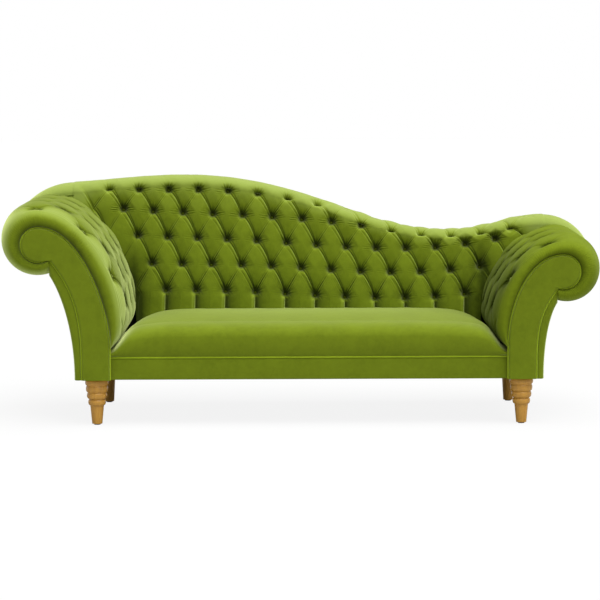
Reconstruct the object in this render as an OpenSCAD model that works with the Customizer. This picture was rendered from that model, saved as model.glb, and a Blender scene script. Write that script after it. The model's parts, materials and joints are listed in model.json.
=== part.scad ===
// Fainting couch: two unequal scroll arms, a serpentine deep-buttoned back and turned front legs.
// X runs from the high end to the low end, Y from front to back and Z up, in millimetres.
// The origin lies on the floor under the middle of the whole couch.

/* [Overall] */
// Clear width between the inner edges of the two front scrolls
seat_w = 1482; // [1300:1:1650]
// Depth from the front scrolls to the face of the back at seat height
seat_d = 602; // [560:1:640]
// Height of the seat pad where it meets the back
seat_h = 380; // [365:1:395]
// Height of the highest point of the back
back_h = 898; // [880:1:930]
// Height of the underside of the upholstery
clear_h = 171; // [150:1:190]

/* [Seat] */
// Height of the rails of the seat frame
rail_h = 72; // [64:1:78]
// Thickness of every rail
rail_t = 32; // [26:1:36]
// How far the padded border stands behind the scrolls
border_set = 25; // [20:1:32]
// Thickness of the padded border in front of the rail
border_t = 6; // [4:1:8]
// Radius of the welt under the seat pad
welt_r = 3.5; // [2.5:0.1:4.5]
// Thickness of the felt over the springs
felt_t = 8; // [5:1:11]
// Rise of the seat pad's crown over its back edge
seat_crown = 20; // [10:1:26]
// Height of the seat pad's ends beside the arms
seat_end_z = 276; // [270:1:282]
// Distance from its ends over which the seat pad swells
seat_run = 62; // [56:1:70]
// How far the seat pad's front lies behind the scrolls
seat_front_set = 17; // [15:1:22]

/* [Back] */
// Backward lean of the back's face in degrees
back_lean = 12.5; // [11:0.5:14]
// Backward lean of the outside back in degrees
rear_lean = 7.5; // [6.5:0.5:8]
// Front to back depth of the back's posts at the top of the seat frame
post_d = 95; // [88:1:110]
// Thickness of the back pad
back_pad_t = 75; // [65:1:80]
// Height of the back pad's foot over the felt of the seat
back_foot = 48; // [40:1:56]
// Depth of the tufts of the back
back_tuft = 30; // [20:1:36]
// Wanted half width of a diamond of the back
diamond_half_w = 58.7; // [54:0.1:64]
// Height of the lowest row of buttons over the seat
row_first = 72; // [66:1:80]
// Mean height from one row of buttons to the next
row_step = 99; // [94:1:101]
// Dip of the rows under the low part of the back
row_sag = 88; // [60:1:100]
// Height of the low part of the top edge
dip_h = 678; // [665:1:695]
// Height of the rounded edge along the top
crest_edge = 45; // [38:1:52]
// Front to back thickness of the rolled top edge
crest_t = 150; // [145:1:165]
// Height of the rolled top edge over the frame
crest_drop = 90; // [80:1:100]
// Height of the serpentine top rail
top_rail_h = 90; // [76:1:96]
// Thickness of the outside back's card and cloth
panel_t = 4; // [3:0.5:6]

/* [Wings] */
// Distance of the high wing's centre outside the scroll's inner edge
left_wing_out = 182; // [172:1:192]
// Height of the high wing's centre
left_wing_z = 598; // [588:1:608]
// Radius of the high wing
left_wing_r = 262; // [254:1:268]
// Distance of the low wing's centre outside the scroll's inner edge
right_wing_out = 186; // [178:1:194]
// Height of the low wing's centre
right_wing_z = 540; // [532:1:548]
// Radius of the low wing
right_wing_r = 198; // [194:1:204]
// Width of the padded band round a wing
wing_band = 120; // [110:1:130]

/* [Arms] */
// Width of a scroll's stem
stem_w = 100; // [92:1:108]
// Height at which a stem starts to curve outwards
stem_z = 296; // [286:1:306]
// Distance of the high head's centre outside the stem's inner edge
left_head_out = 264; // [254:1:272]
// Height of the high head's centre
left_head_z = 674; // [664:1:684]
// Radius of the high head
left_head_r = 65; // [60:1:68]
// Distance of the low head's centre outside the stem's inner edge
right_head_out = 205; // [198:1:212]
// Height of the low head's centre
right_head_z = 567; // [558:1:576]
// Radius of the low head
right_head_r = 64; // [59:1:67]
// Padding round the high head
left_roll_t = 68; // [62:1:72]
// Padding round the low head
right_roll_t = 59; // [54:1:62]
// Bulge of the arm pads into the seat
arm_bulge = 66; // [60:1:72]
// Height of the high arm's bulge
left_bulge_z = 405; // [395:1:415]
// Height of the low arm's bulge
right_bulge_z = 375; // [368:1:385]
// Height of the lower edge of the arm pads
arm_pad_z = 289; // [286:1:294]
// Depth of the tufts of the arms
arm_tuft = 24; // [14:1:28]
// Step of the arm's button rows along its curve
arm_row_step = 107.6; // [102:0.1:112]
// Step of the arm's button columns from front to back
arm_col_step = 98; // [92:1:102]
// Distance of the lowest row of arm buttons from the pad's lower edge
arm_row_first = 158; // [152:1:164]
// Distance of the first column of arm buttons from the front
arm_col_first = 95; // [90:1:102]
// Thickness of the padded outside of an arm at its foot
outer_t = 30; // [24:1:36]
// Thickness of an upholstered scroll facing
facing_t = 14; // [12:1:16]
// Radius of the piping round a facing
pipe_r = 2.8; // [2.5:0.1:3.5]
// Thickness of the scroll boards
board_t = 22; // [18:1:26]
// Thickness of the hardboard lining of the arms
lining_t = 3; // [2:0.5:4]
// Side of the square battens in the arms
batten = 40; // [34:1:44]

/* [Legs] */
// Distance of the front legs' centre behind the scrolls
front_leg_set = 59; // [54:1:64]
// Distance of the rear legs' centre before the outside back's foot
rear_leg_set = 36; // [34:1:42]
// Radius of a front leg at its top ring
leg_top_r = 44; // [42:1:48]
// Radius of a front leg's uppermost groove
leg_groove_r = 39.5; // [37:0.5:41.5]
// Radius of a front leg where the shaft begins
leg_shaft_r = 25.5; // [23:0.5:29]
// Radius of every leg at its foot
leg_foot_r = 19; // [16:1:22]
// Radius of a rear leg at its top
rear_leg_r = 30; // [27:1:33]
// Thickness of a rear leg's top collar
rear_collar_t = 7; // [5:1:10]
// Radius of the glides
glide_r = 12; // [9:1:14]
// Thickness of the glides
glide_t = 4; // [3:0.5:6]
// Radius of the leg studs
stud_r = 4; // [3:0.5:5]
// Length of a stud inside its leg
stud_in = 35; // [28:1:45]
// Length of a stud above the leg
stud_up = 58; // [50:1:60]

/* [Hardware] */
// Radius of the buttons
button_r = 11; // [8:0.5:12]
// Height of the buttons
button_h = 7; // [5:0.5:9]
// Width of a seat spring
spring_w = 52; // [44:1:60]
// Wanted length of one bend of a seat spring
spring_pitch = 30; // [26:1:36]
// Thickness of the spring wire
wire_t = 4; // [3:0.5:5]
// Wanted distance between seat springs
spring_gap = 150; // [120:1:180]
// Width of a spring clip
clip_w = 20; // [16:1:26]
// Depth of a spring clip
clip_d = 14; // [12:1:18]
// Wall of a spring clip
clip_wall = 1.5; // [1:0.1:2]
// Width of a strap of back webbing
web_w = 50; // [40:1:60]
// Thickness of the back webbing
web_t = 2; // [1:0.5:3]
// Wanted distance between the straps of back webbing
web_gap = 120; // [100:1:150]
// Thickness of the dust cover
cover_t = 2; // [1:0.5:3]
// Radius of the frame bolts
bolt_r = 4; // [3:0.5:5]
// Radius of a frame bolt's head and nut
bolt_head_r = 7.5; // [6.5:0.5:9]
// Thickness of a frame bolt's head and nut
bolt_head_t = 6; // [5:0.5:8]
// Radius of a leg nut's barrel
nut_r = 6; // [5.5:0.5:7]
// Length of a leg nut's barrel
nut_h = 14; // [11:1:18]
// Radius of a leg nut's flange
nut_flange_r = 12; // [10:1:14]
// Thickness of a leg nut's flange
nut_flange_t = 1.6; // [1.2:0.1:2.4]

/* [Hidden] */
$fn = 48;
velvet = "#6a7a1b";
velvet_shade = "#566410";
beech = "#b38b49";
frame_wood = "#c9a66b";
steel = "#9a9da1";
card = "#8b7355";
cloth = "#2b2b2b";
// Clearance between neighbouring pieces
fit = 0.3;
// How far cutting shapes run past what they cut
overrun = 5;
// Least height of a row of facets
row_gap = 2;
full_turn = 360;

// Heights and depths that the pieces share
left = 0;
right = 1;
z_frame = clear_h + cover_t;
z_rail = z_frame + rail_h;
z_seat_pad = z_rail + wire_t + felt_t + fit;
total_d = seat_d + (back_h - crest_edge - seat_h) * tan(back_lean) + crest_t;
total_w = seat_w + left_wing_out + left_wing_r + right_wing_out + right_wing_r;
y_front = -total_d / 2;
y_board = y_front + facing_t;
y_rail = y_front + border_set + border_t;
y_seat_back = y_front + seat_d;
x_in = [left_wing_out + left_wing_r - total_w / 2, total_w / 2 - right_wing_out - right_wing_r];
back_z = z_seat_pad + back_foot;

// Faces of the back: front of its pad, rear of its pad, front and rear of its frame
function y_face(z) = y_seat_back + (z - seat_h) * tan(back_lean);
function y_pad_rear(z) = y_face(z) + back_pad_t;
function y_post(z) = y_pad_rear(max(z, z_rail)) + fit + web_t;
function y_out(z) = y_post(z_rail) + post_d + (z - z_rail) * tan(rear_lean);
y_rear_rail = y_post(z_rail);

// Curves: a cubic between two points, an arc, and a path moved to its left
function cubic(a, b, c, d, n, from = 0, to = 1) = [for (i = [0:n])
    let (t = from + (to - from) * i / n, s = 1 - t)
    a * s * s * s + b * 3 * s * s * t + c * 3 * s * t * t + d * t * t * t];
function arc(centre, r, from, to, n) = [for (i = [0:n])
    let (w = from + (to - from) * i / n) centre + r * [cos(w), sin(w)]];
function moved(path, d) = [for (i = [0:len(path) - 1])
    let (along = path[min(i + 1, len(path) - 1)] - path[max(i - 1, 0)])
    path[i] + d * [-along[1], along[0]] / norm(along)];
function lengths(path, i = 0, sum = 0) = i == len(path) ? [] :
    let (step = i == 0 ? 0 : norm(path[i] - path[i - 1])) concat([sum + step], lengths(path, i + 1, sum + step));
function tail(list) = [for (i = [1:len(list) - 1]) list[i]];
function clamped(v, low, high) = min(max(v, low), high);

// Height of a tuft as a share of its crown: buttons where both lattice numbers add up to an even one,
// valleys along the diagonals between them and a crown in the middle of each diamond
valley_share = 0.45;
function tuft(p, q) = let (a = 90 * (p + q), b = 90 * (p - q))
    (1 - valley_share) * sqrt(abs(sin(a) * sin(b))) + valley_share * (1 - pow(cos(a) * cos(b), 2));

// A solid through equal loops of points, with the diagonals of its facets turned by the parity of shift
module loft(loops, shift = 0) {
    n = len(loops);
    k = len(loops[0]);
    walls = [for (i = [0:n - 2], j = [0:k - 1])
        let (a = i * k + j, b = i * k + (j + 1) % k, c = (i + 1) * k + (j + 1) % k, d = (i + 1) * k + j)
        each ((i + j + shift) % 2 == 0 ? [[a, b, c], [a, c, d]] : [[a, b, d], [b, c, d]])];
    ends = [[for (j = [k - 1:-1:0]) j], [for (j = [0:k - 1]) (n - 1) * k + j]];
    polyhedron([for (l = loops) each l], concat(walls, ends));
}

// A bar between two depths with an outline drawn across the couch
module along_y(from, to) {
    translate([0, to, 0]) rotate([90, 0, 0]) linear_extrude(to - from) children();
}

// A bar between two places across the couch with an outline drawn from its side, as depth and height
module along_x(from, to) {
    translate([from, 0, 0]) rotate([90, 0, 90]) linear_extrude(to - from) children();
}

module block(low, high) {
    translate(low) cube(high - low);
}

// Puts what is drawn outwards from a scroll's inner edge on the left or the right arm
module on_arm(s) {
    if (s == left) translate([x_in[left], 0, 0]) mirror([1, 0, 0]) children();
    else translate([x_in[right], 0, 0]) children();
}

// Arms, drawn as distance outwards from the stem's inner edge and height
head_out = [left_head_out, right_head_out];
head_z = [left_head_z, right_head_z];
head_r = [left_head_r, right_head_r];
roll_r = [left_head_r + left_roll_t, right_head_r + right_roll_t];
roll_lift_shares = [0.25, 0.15];
roll_lean_shares = [0.03, 0.23];
bulge_z = [left_bulge_z, right_bulge_z];
notch_angle = [-129.5, -109];
roll_end_angle = [-107.5, -105];
head = [for (s = [left, right]) [head_out[s], head_z[s]]];
roll = [for (s = [left, right])
    head[s] + (roll_r[s] - head_r[s]) * [roll_lean_shares[s], roll_lift_shares[s]]];
notch = [for (s = [left, right]) head[s] + head_r[s] * [cos(notch_angle[s]), sin(notch_angle[s])]];
roll_end = [for (s = [left, right]) roll[s] + roll_r[s] * [cos(roll_end_angle[s]), sin(roll_end_angle[s])]];
inner_reach_share = 0.63;
inner_rise_shares = [0.27, 0.44];
pad_reach_share = 0.575;
pad_rise_share = 0.4;
bulge_low_share = 0.4;
stem_start_share = 0.27;
stem_end_share = 0.58;
outer_start_share = 0.17;
outer_end_share = 0.51;
bulge_turn_share = 0.25;
steps = 12;

// Inner edge of a facing from the stem up to the top of its head, between two shares of its length
function facing_inner(s, n, from, to) =
    let (top = head[s] + [0, head_r[s]], foot = [0, stem_z])
    cubic(foot, foot + [0, (top[1] - stem_z) * inner_rise_shares[s]],
        top - [head_out[s] * inner_reach_share, 0], top, n, from, to);
function facing_head(s, n) = arc(head[s], head_r[s], 90, notch_angle[s], n);
// Outer edge of a facing's stem, from the notch under the head down to the foot
function facing_stem(s, n) =
    let (foot = [stem_w, z_frame + (stem_z - z_frame) * 0.65], fall = notch[s][1] - foot[1])
    cubic(notch[s], notch[s] - fall * stem_start_share * [0.6, 0.8], foot + [0, fall * stem_end_share], foot, n);
function facing_outline(s, low) = concat([[0, low]], facing_inner(s, steps, 0, 1), tail(facing_head(s, steps)),
    tail(facing_stem(s, steps)), [[stem_w, low]]);
// Outer side of the padded outside arm, from the end of the roll down to the foot
function outer_curve(s, n, from = 0, to = 1) =
    let (foot = [stem_w + outer_t, z_frame], fall = roll_end[s][1] - z_frame)
    cubic(roll_end[s], roll_end[s] - fall * outer_start_share * [0.55, 0.84],
        foot + [0, fall * outer_end_share], foot, n, from, to);

// The padded surface of an arm and the frame's edge under it, point for point, from the lower edge of the
// pad over the bulge and the roll to the notch
function pad_surface(s) =
    let (low = [-arm_bulge * 0.12, arm_pad_z], side = [-arm_bulge, bulge_z[s]], top = roll[s] + [0, roll_r[s]],
        rise = top[1] - side[1], fall = side[1] - low[1])
    concat(cubic(low, low + [-arm_bulge * 0.55, fall * 0.23], side - [0, fall * bulge_low_share], side, 4),
        tail(cubic(side, side + [0, rise * pad_rise_share],
            top - [(top[0] - side[0]) * pad_reach_share, 0], top, steps)),
        tail(arc(roll[s], roll_r[s], 90, roll_end_angle[s], steps)));
function pad_backing(s) = concat([[0, arm_pad_z]], tail(facing_inner(s, 4, 0, bulge_turn_share)),
    tail(facing_inner(s, steps, bulge_turn_share, 1)), tail(facing_head(s, steps)));
pad_outer = [for (s = [left, right]) pad_surface(s)];
pad_inner = [for (s = [left, right]) pad_backing(s)];
pad_run = [for (s = [left, right]) lengths(pad_outer[s])];
pad_girth = [for (s = [left, right]) pad_run[s][len(pad_run[s]) - 1]];
function at_run(s, points, t) = [for (axis = [0, 1])
    lookup(t, [for (i = [0:len(points) - 1]) [pad_run[s][i], points[i][axis]]])];

// Places of an arm's button rows and columns. Rows count from the pad's lower edge, columns from the front.
arm_rows = [5, 3];
function row_t(m) = arm_row_first + arm_row_step * m / 2;
function col_y(m) = arm_col_first + arm_col_step * m / 2;
arm_half_cols = floor(2 * (seat_d + (arm_pad_z - seat_h) * tan(back_lean) - arm_col_first) / arm_col_step);
function arm_end_y(z) = y_face(z) - fit;

// How much of the tuft is left at a place on an arm: all of it among the buttons, none beyond them
function arm_depth(s, m, c) = c < 0 ? 0 : m < 0 ? max(0, 1 + m / 3) * 0.5 :
    clamped((2 * arm_rows[s] + 2 - m) / 2, 0, 1);

// Rings of an arm pad near its front: depth, share of the full padding, depth of its inner side
pipe_room = 2 * pipe_r + 2 * fit;
// Clearance of the arm pads' inner side, which is flatter than the boards it lies on
pad_gap = 6 * fit;
front_ring_shares = [[0.85, 0.03, 0.93], [0.2, 0.34, 1.02], [0.12, 0.62, 1.3], [1.15, 0.88, 2.1], [3.3, 1, 3.6]];

function arm_row(s, t, m) =
    let (outer = at_run(s, pad_outer[s], t), inner = at_run(s, pad_inner[s], t),
        room = norm(outer - inner), out = (outer - inner) / room,
        end = arm_end_y(outer[1]) - y_front,
        fronts = [for (f = front_ring_shares)
            [facing_t * f[0], pipe_room + (room - pipe_room) * f[1], facing_t * f[2],
                f == front_ring_shares[0] ? pipe_room : pad_gap]],
        middles = [for (c = [0:arm_half_cols - 1])
            let (depth = arm_tuft * arm_depth(s, m, c) * (1 - tuft(m / 2 + 1, c / 2)))
            [col_y(c), room - depth, col_y(c), pad_gap]],
        rings = concat(fronts, middles, [[end, room, end, pad_gap]]))
    concat([for (r = rings) let (p = inner + out * r[1]) [p[0], y_front + r[0], p[1]]],
        [for (j = [len(rings) - 1:-1:0])
            let (r = rings[j], p = inner + out * r[3]) [p[0], y_front + r[2], p[1]]]);

module arm_pad(s) {
    last = floor(2 * (pad_girth[s] - arm_row_first) / arm_row_step - 0.3);
    rows = concat([[0, -3]], [for (m = [-2:last]) [row_t(m), m]], [[pad_girth[s], last + 1]]);
    color(velvet) on_arm(s) loft([for (r = rows) arm_row(s, r[0], r[1])], len(front_ring_shares) + 3);
}

module button() {
    color(velvet_shade) rotate_extrude($fn = 24) polygon([[0, 0], [button_r, 0], [button_r, button_h * 0.3],
        [button_r * 0.8, button_h * 0.75], [button_r * 0.45, button_h], [0, button_h]]);
}

// A button stands over the bottom of its dimple by what the dimple rises within the button's radius
function button_lift(slope) = fit + button_r * slope;

module arm_buttons(s) {
    on_arm(s) for (j = [0:arm_rows[s]], c = [0:floor((arm_half_cols - 1) / 2)])
        if ((j + c) % 2 == 1) {
            t = row_t(2 * j);
            outer = at_run(s, pad_outer[s], t);
            inner = at_run(s, pad_inner[s], t);
            along = at_run(s, pad_outer[s], t + arm_row_step / 2) - at_run(s, pad_outer[s], t - arm_row_step / 2);
            out = [-along[1], along[0]] / norm(along);
            slope = arm_tuft * tuft(0.5, 0) / (arm_col_step / 2);
            p = outer - (outer - inner) / norm(outer - inner) * arm_tuft + out * button_lift(slope);
            y = y_front + col_y(2 * c);
            if (y < arm_end_y(outer[1]) - arm_col_step / 2)
                translate([p[0], y, p[1]]) rotate([0, atan2(out[0], out[1]), 0]) button();
        }
}

module arm_facing(s) {
    color(velvet) on_arm(s) along_y(y_front, y_board) polygon(facing_outline(s, clear_h));
}

module arm_piping(s) {
    path = moved(facing_outline(s, clear_h), pipe_r + fit);
    sides = 6;
    loops = [for (i = [0:len(path) - 1])
        let (along = path[min(i + 1, len(path) - 1)] - path[max(i - 1, 0)],
            out = [-along[1], along[0]] / norm(along))
        [for (j = [0:sides - 1]) let (w = full_turn * j / sides, p = path[i] + out * pipe_r * cos(w))
            [p[0], y_board - pipe_r - fit + pipe_r * sin(w), p[1]]]];
    color(velvet_shade) on_arm(s) loft(loops);
}

module arm_front_board(s) {
    color(frame_wood) on_arm(s) along_y(y_board, y_board + board_t) polygon(facing_outline(s, z_frame));
}

// Keeps what lies before the arm's rear board, or is the board itself
module before_back(from, gap) {
    intersection() {
        children();
        along_x(-total_w, total_w) polygon([[from, z_frame - overrun],
            [y_face(z_frame - overrun) - gap, z_frame - overrun], [y_face(back_h) - gap, back_h], [from, back_h]]);
    }
}

module arm_rear_board(s) {
    color(frame_wood) on_arm(s) intersection() {
        along_y(y_front, -y_front) polygon(facing_outline(s, z_rail));
        along_x(-total_w, total_w) polygon([for (p = [[board_t, z_frame], [0, z_frame], [0, back_h], [board_t, back_h]])
            [y_face(p[1]) - fit - p[0], p[1]]]);
    }
}

module arm_lining(s) {
    outline = facing_outline(s, z_rail);
    color(card) on_arm(s) before_back(y_board + board_t, board_t + fit)
        along_y(y_board + board_t, -y_front) difference() {
            polygon(outline);
            polygon(concat([[lining_t, z_rail - overrun]], moved(outline, -lining_t),
                [[stem_w - lining_t, z_rail - overrun]]));
        }
}

module arm_battens(s) {
    stem_mid = (facing_inner(s, 2, 0, 1)[1] + facing_stem(s, 2)[1]) / 2;
    color(frame_wood) on_arm(s) before_back(y_board + board_t, board_t + fit)
        along_y(y_board + board_t, -y_front)
            for (c = [head[s], stem_mid, [stem_w / 2, z_rail + batten]])
                translate(c) square(batten, center = true);
}

module arm_base_rail(s) {
    color(frame_wood) on_arm(s) difference() {
        block([0, y_board + board_t + block_d, z_frame], [rail_t, y_rear_rail, z_rail]);
        bolt_holes();
    }
}

module outside_arm(s) {
    gap = fit * [1, 0];
    inner = [for (p = facing_stem(s, steps)) p + gap];
    color(velvet) on_arm(s) intersection() {
        along_y(y_board + fit, -y_front * 2) polygon(concat(outer_curve(s, steps),
            [[stem_w + outer_t, clear_h], [stem_w + fit, clear_h]], [for (i = [steps:-1:1]) inner[i]]));
        along_x(-total_w, total_w) polygon([[y_front, 0], [y_out(0) - fit, 0], [y_out(back_h) - fit, back_h],
            [y_front, back_h]]);
    }
}

// Seat frame
block_d = 90;
post_w = 60;
bolt_count = 3;
bolt_z = z_frame + rail_h / 2;
cross_drop = 20;
module bolt_holes() {
    for (i = [0:bolt_count - 1])
        translate([-rail_t - overrun, bolt_y(i), bolt_z]) rotate([0, 90, 0])
            cylinder(r = bolt_r + fit, h = 2 * (rail_t + overrun));
}
function bolt_y(i) = let (from = y_board + board_t + block_d, to = y_rear_rail - rail_t)
    from + (to - from) * (i + 0.5) / bolt_count;

module front_rail() {
    color(frame_wood) block([x_in[left], y_rail, z_frame], [x_in[right], y_rail + rail_t, z_rail]);
}

module rear_rail() {
    color(frame_wood) block([x_in[left], y_rear_rail - rail_t, z_frame], [x_in[right], y_rear_rail, z_rail]);
}

module end_rail(s) {
    color(frame_wood) on_arm(s) difference() {
        block([-rail_t, y_rail + rail_t, z_frame], [0, y_rear_rail - rail_t, z_rail]);
        bolt_holes();
    }
}

module cross_rails() {
    color(frame_wood) for (share = [1 / 3, 2 / 3]) {
        x = x_in[left] + seat_w * share;
        block([x - rail_t / 2, y_rail + rail_t, z_frame], [x + rail_t / 2, y_rear_rail - rail_t, z_rail - cross_drop]);
    }
}

// Glued triangular blocks in the four corners of the seat frame
module corner_blocks() {
    leg = 2 * rail_t;
    color(frame_wood) for (s = [left, right]) on_arm(s)
        for (y = [[y_rail + rail_t, 1], [y_rear_rail - rail_t, -1]])
            translate([0, 0, z_frame]) linear_extrude(rail_h - cross_drop)
                polygon([[-rail_t, y[0]], [-rail_t - leg, y[0]], [-rail_t, y[0] + y[1] * leg]]);
}

// Blocks in the feet of the arms that hold the legs
leg_y = [y_front + front_leg_set, y_out(z_frame) - rear_leg_set];
leg_x = stem_w / 2;
module leg_blocks() {
    color(frame_wood) for (s = [left, right]) on_arm(s) difference() {
        union() {
            block([0, y_board + board_t, z_frame], [stem_w, y_board + board_t + block_d, z_rail]);
            block([0, y_rear_rail, z_frame], [stem_w, y_out(z_frame), z_rail]);
        }
        for (y = leg_y) translate([leg_x, y, z_frame]) {
            translate([0, 0, -overrun]) cylinder(r = nut_r + fit, h = rail_h + 2 * overrun);
            translate([0, 0, rail_h - nut_flange_t - fit]) cylinder(r = nut_flange_r + fit, h = nut_flange_t + overrun);
        }
    }
}

module leg_nuts() {
    color(steel) for (s = [left, right]) on_arm(s) for (y = leg_y) translate([leg_x, y, z_rail]) difference() {
        union() {
            translate([0, 0, -nut_flange_t - fit]) cylinder(r = nut_flange_r, h = nut_flange_t);
            translate([0, 0, -nut_flange_t - fit - nut_h]) cylinder(r = nut_r, h = nut_h);
        }
        translate([0, 0, -rail_h]) cylinder(r = stud_r + fit, h = rail_h + overrun);
    }
}

module leg_studs() {
    color(steel) for (s = [left, right]) on_arm(s) for (y = leg_y)
        translate([leg_x, y, clear_h - stud_in]) cylinder(r = stud_r, h = stud_in + stud_up);
}

module frame_bolts() {
    color(steel) for (s = [left, right]) on_arm(s) for (i = [0:bolt_count - 1])
        translate([-rail_t, bolt_y(i), bolt_z]) rotate([0, 90, 0]) {
            translate([0, 0, -bolt_head_t]) cylinder(r = bolt_head_r, h = bolt_head_t, $fn = 6);
            translate([0, 0, -bolt_head_t]) cylinder(r = bolt_r, h = 2 * rail_t + 2 * bolt_head_t);
            translate([0, 0, 2 * rail_t]) cylinder(r = bolt_head_r, h = bolt_head_t, $fn = 6);
        }
}

// Seat springs: serpentine wires over the frame, with a clip over each end
spring_n = floor((seat_w - 2 * rail_t) / spring_gap);
spring_from = y_rail + rail_t / 2;
spring_to = y_rear_rail - rail_t / 2;
spring_bends = floor((spring_to - spring_from) / spring_pitch);
bend = (spring_to - spring_from) / spring_bends;
function spring_x(i) = x_in[left] + seat_w * (i + 0.5) / spring_n;
function spring_line() =
    let (half = spring_w / 2 - bend / 2)
    concat([[-half, 0]], [for (k = [0:spring_bends - 1], a = [0:45:180])
        let (side = k % 2 == 0 ? 1 : -1) [side * (half + bend / 2 * sin(a)), (k + 0.5) * bend - bend / 2 * cos(a)]],
        [[(spring_bends % 2 == 0 ? 1 : -1) * half, spring_bends * bend]]);

module seat_springs() {
    line = spring_line();
    color(steel) for (i = [0:spring_n - 1]) translate([spring_x(i), spring_from, z_rail]) linear_extrude(wire_t)
        polygon(concat(moved(line, wire_t / 2), [for (k = [len(line) - 1:-1:0]) moved(line, -wire_t / 2)[k]]));
}

module spring_clips() {
    color(steel) for (i = [0:spring_n - 1], y = [spring_from, spring_to])
        translate([spring_x(i), y, z_rail]) difference() {
            translate([-clip_w / 2, -clip_d / 2, 0]) cube([clip_w, clip_d, wire_t + fit + clip_wall]);
            translate([-clip_w, -wire_t / 2 - fit, -overrun]) cube([2 * clip_w, wire_t + 2 * fit, wire_t + fit + overrun]);
        }
}

module seat_felt() {
    color(card) block([x_in[left] + rail_t, y_rail + rail_t + clip_d / 2, z_rail + wire_t],
        [x_in[right] - rail_t, y_rear_rail - rail_t - clip_d / 2, z_rail + wire_t + felt_t]);
}

module front_border() {
    color(velvet) block([x_in[left] + fit, y_front + border_set, clear_h],
        [x_in[right] - fit, y_rail, z_seat_pad - 2 * welt_r - 2 * fit]);
}

module seat_welt() {
    color(velvet_shade) translate([x_in[left] + fit, y_rail - welt_r, z_seat_pad - welt_r - fit])
        rotate([0, 90, 0]) cylinder(r = welt_r, h = seat_w - 2 * fit, $fn = 24);
}

// Seat pad: a crowned slab that swells from low ends beside the arms, with a rounded front.
// Each section point is a depth and a height, both as shares, and a share of the crown.
seat_front_shares = [[0.45, 0, 0], [0.1, 0.2, 0], [0, 0.5, 0], [0.45, 0.78, 0], [2, 0.9, 0]];
seat_top_shares = [[0.13, 0.95, 0], [0.32, 1, 0.7], [0.55, 1, 1], [0.78, 1, 0.75], [0.93, 1, 0.3], [1, 1, 0]];
function seat_section(x) =
    let (d = min(x - x_in[left], x_in[right] - x), swell = 1 - exp(-pow(d / seat_run, 1.9)),
        top = seat_end_z + (seat_h - seat_end_z) * swell, h = top - z_seat_pad, y0 = y_front + seat_front_set,
        y1 = y_face(top) - fit)
    concat([for (p = seat_front_shares) [x, y0 + p[0] * seat_front_set, z_seat_pad + p[1] * h]],
        [for (p = seat_top_shares) [x, y0 + p[0] * (y1 - y0), z_seat_pad + p[1] * h + p[2] * seat_crown * swell]],
        [[x, y_face(z_seat_pad) - fit, z_seat_pad]]);

module seat_pad() {
    ends = [for (i = [0:6]) fit + seat_run * 2.4 * i / 6];
    middle = 8;
    run = 1.5 * ends[6];
    xs = concat([for (e = ends) x_in[left] + e],
        [for (i = [0:middle]) x_in[left] + run + (seat_w - 2 * run) * i / middle],
        [for (i = [6:-1:0]) x_in[right] - ends[i]]);
    color(velvet) loft([for (x = xs) seat_section(x)]);
}

module dust_cover() {
    inset = rail_t / 4;
    color(cloth) difference() {
        block([x_in[left] - stem_w + inset, y_rail + inset, clear_h],
            [x_in[right] + stem_w - inset, y_out(z_frame) - inset, z_frame]);
        for (s = [left, right]) on_arm(s) for (y = leg_y)
            translate([leg_x, y, clear_h - overrun]) cylinder(r = stud_r + cover_t, h = cover_t + 2 * overrun);
    }
}

// Top line of the back from the end of the high wing to the end of the low wing, seen from the front
wing_end_angle = [193, -39];
wing_x = [x_in[left] - left_wing_out, x_in[right] + right_wing_out];
wing_z = [left_wing_z, right_wing_z];
wing_r = [left_wing_r, right_wing_r];
wing_top = [for (s = [left, right]) [wing_x[s], wing_z[s] + wing_r[s]]];
hump_share = 0.167;
dip_share = 0.866;
hump = [x_in[left] + seat_w * hump_share, back_h];
dip = [x_in[left] + seat_w * dip_share, dip_h];
crest_steps = 10;
function swept(a, b, from_share, to_share, rise_share = 0) =
    cubic(a, a + [(b[0] - a[0]) * from_share, (b[1] - a[1]) * rise_share], b - [(b[0] - a[0]) * to_share, 0], b,
        crest_steps);
crest_mid = concat(swept(wing_top[left], hump, 0.33, 0.37, 0.33), tail(swept(hump, dip, 0.46, 0.32)),
    tail(swept(dip, wing_top[right], 0.45, 0.41)));
function wing_arc(s, r, n) = arc([wing_x[s], wing_z[s]], r,
    s == left ? wing_end_angle[left] : 90, s == left ? 90 : wing_end_angle[right], n);
crest_line = concat(wing_arc(left, wing_r[left], crest_steps), tail(crest_mid),
    tail(wing_arc(right, wing_r[right], crest_steps)));
function crest_z(x) = lookup(x, crest_mid);

// Rows of the back's diamonds, by half rows with the lowest buttons at half row 2. They dip under the low part.
rows_n = 5;
half_rows = 2 * rows_n + 1;
sag_shares = [0.36, 0.41, 0.51, 0.95, 0.85, 0.85];
row_shares = [0, 1.07, 2.16, 3.17, 4.02, 5];
sag_from_share = 0.14;
sag_low_share = 0.716;
lattice_x = x_in[left] + arm_bulge;
lattice_n = round((seat_w - 2 * arm_bulge) / diamond_half_w);
half_w = (seat_w - 2 * arm_bulge) / lattice_n;
function dipping(x) = let (u = (x - x_in[left]) / seat_w)
    u < sag_low_share ? pow(sin(90 * clamped((u - sag_from_share) / (sag_low_share - sag_from_share), 0, 1)), 2) :
    1 - 0.8 * pow(sin(90 * clamped((u - sag_low_share) / (1 - sag_low_share), 0, 1)), 2);
function by_row(q, list) = lookup(q / 2 - 1, [for (i = [-1:rows_n]) [i, i < 0 ? list[0] - 1 : list[i]]]);
function row_z(q, x) = seat_h + row_first + row_step * by_row(q, row_shares)
    - row_sag * dipping(x) * lookup(q / 2 - 1, [for (i = [0:rows_n]) [i, sag_shares[i]]]);

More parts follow.
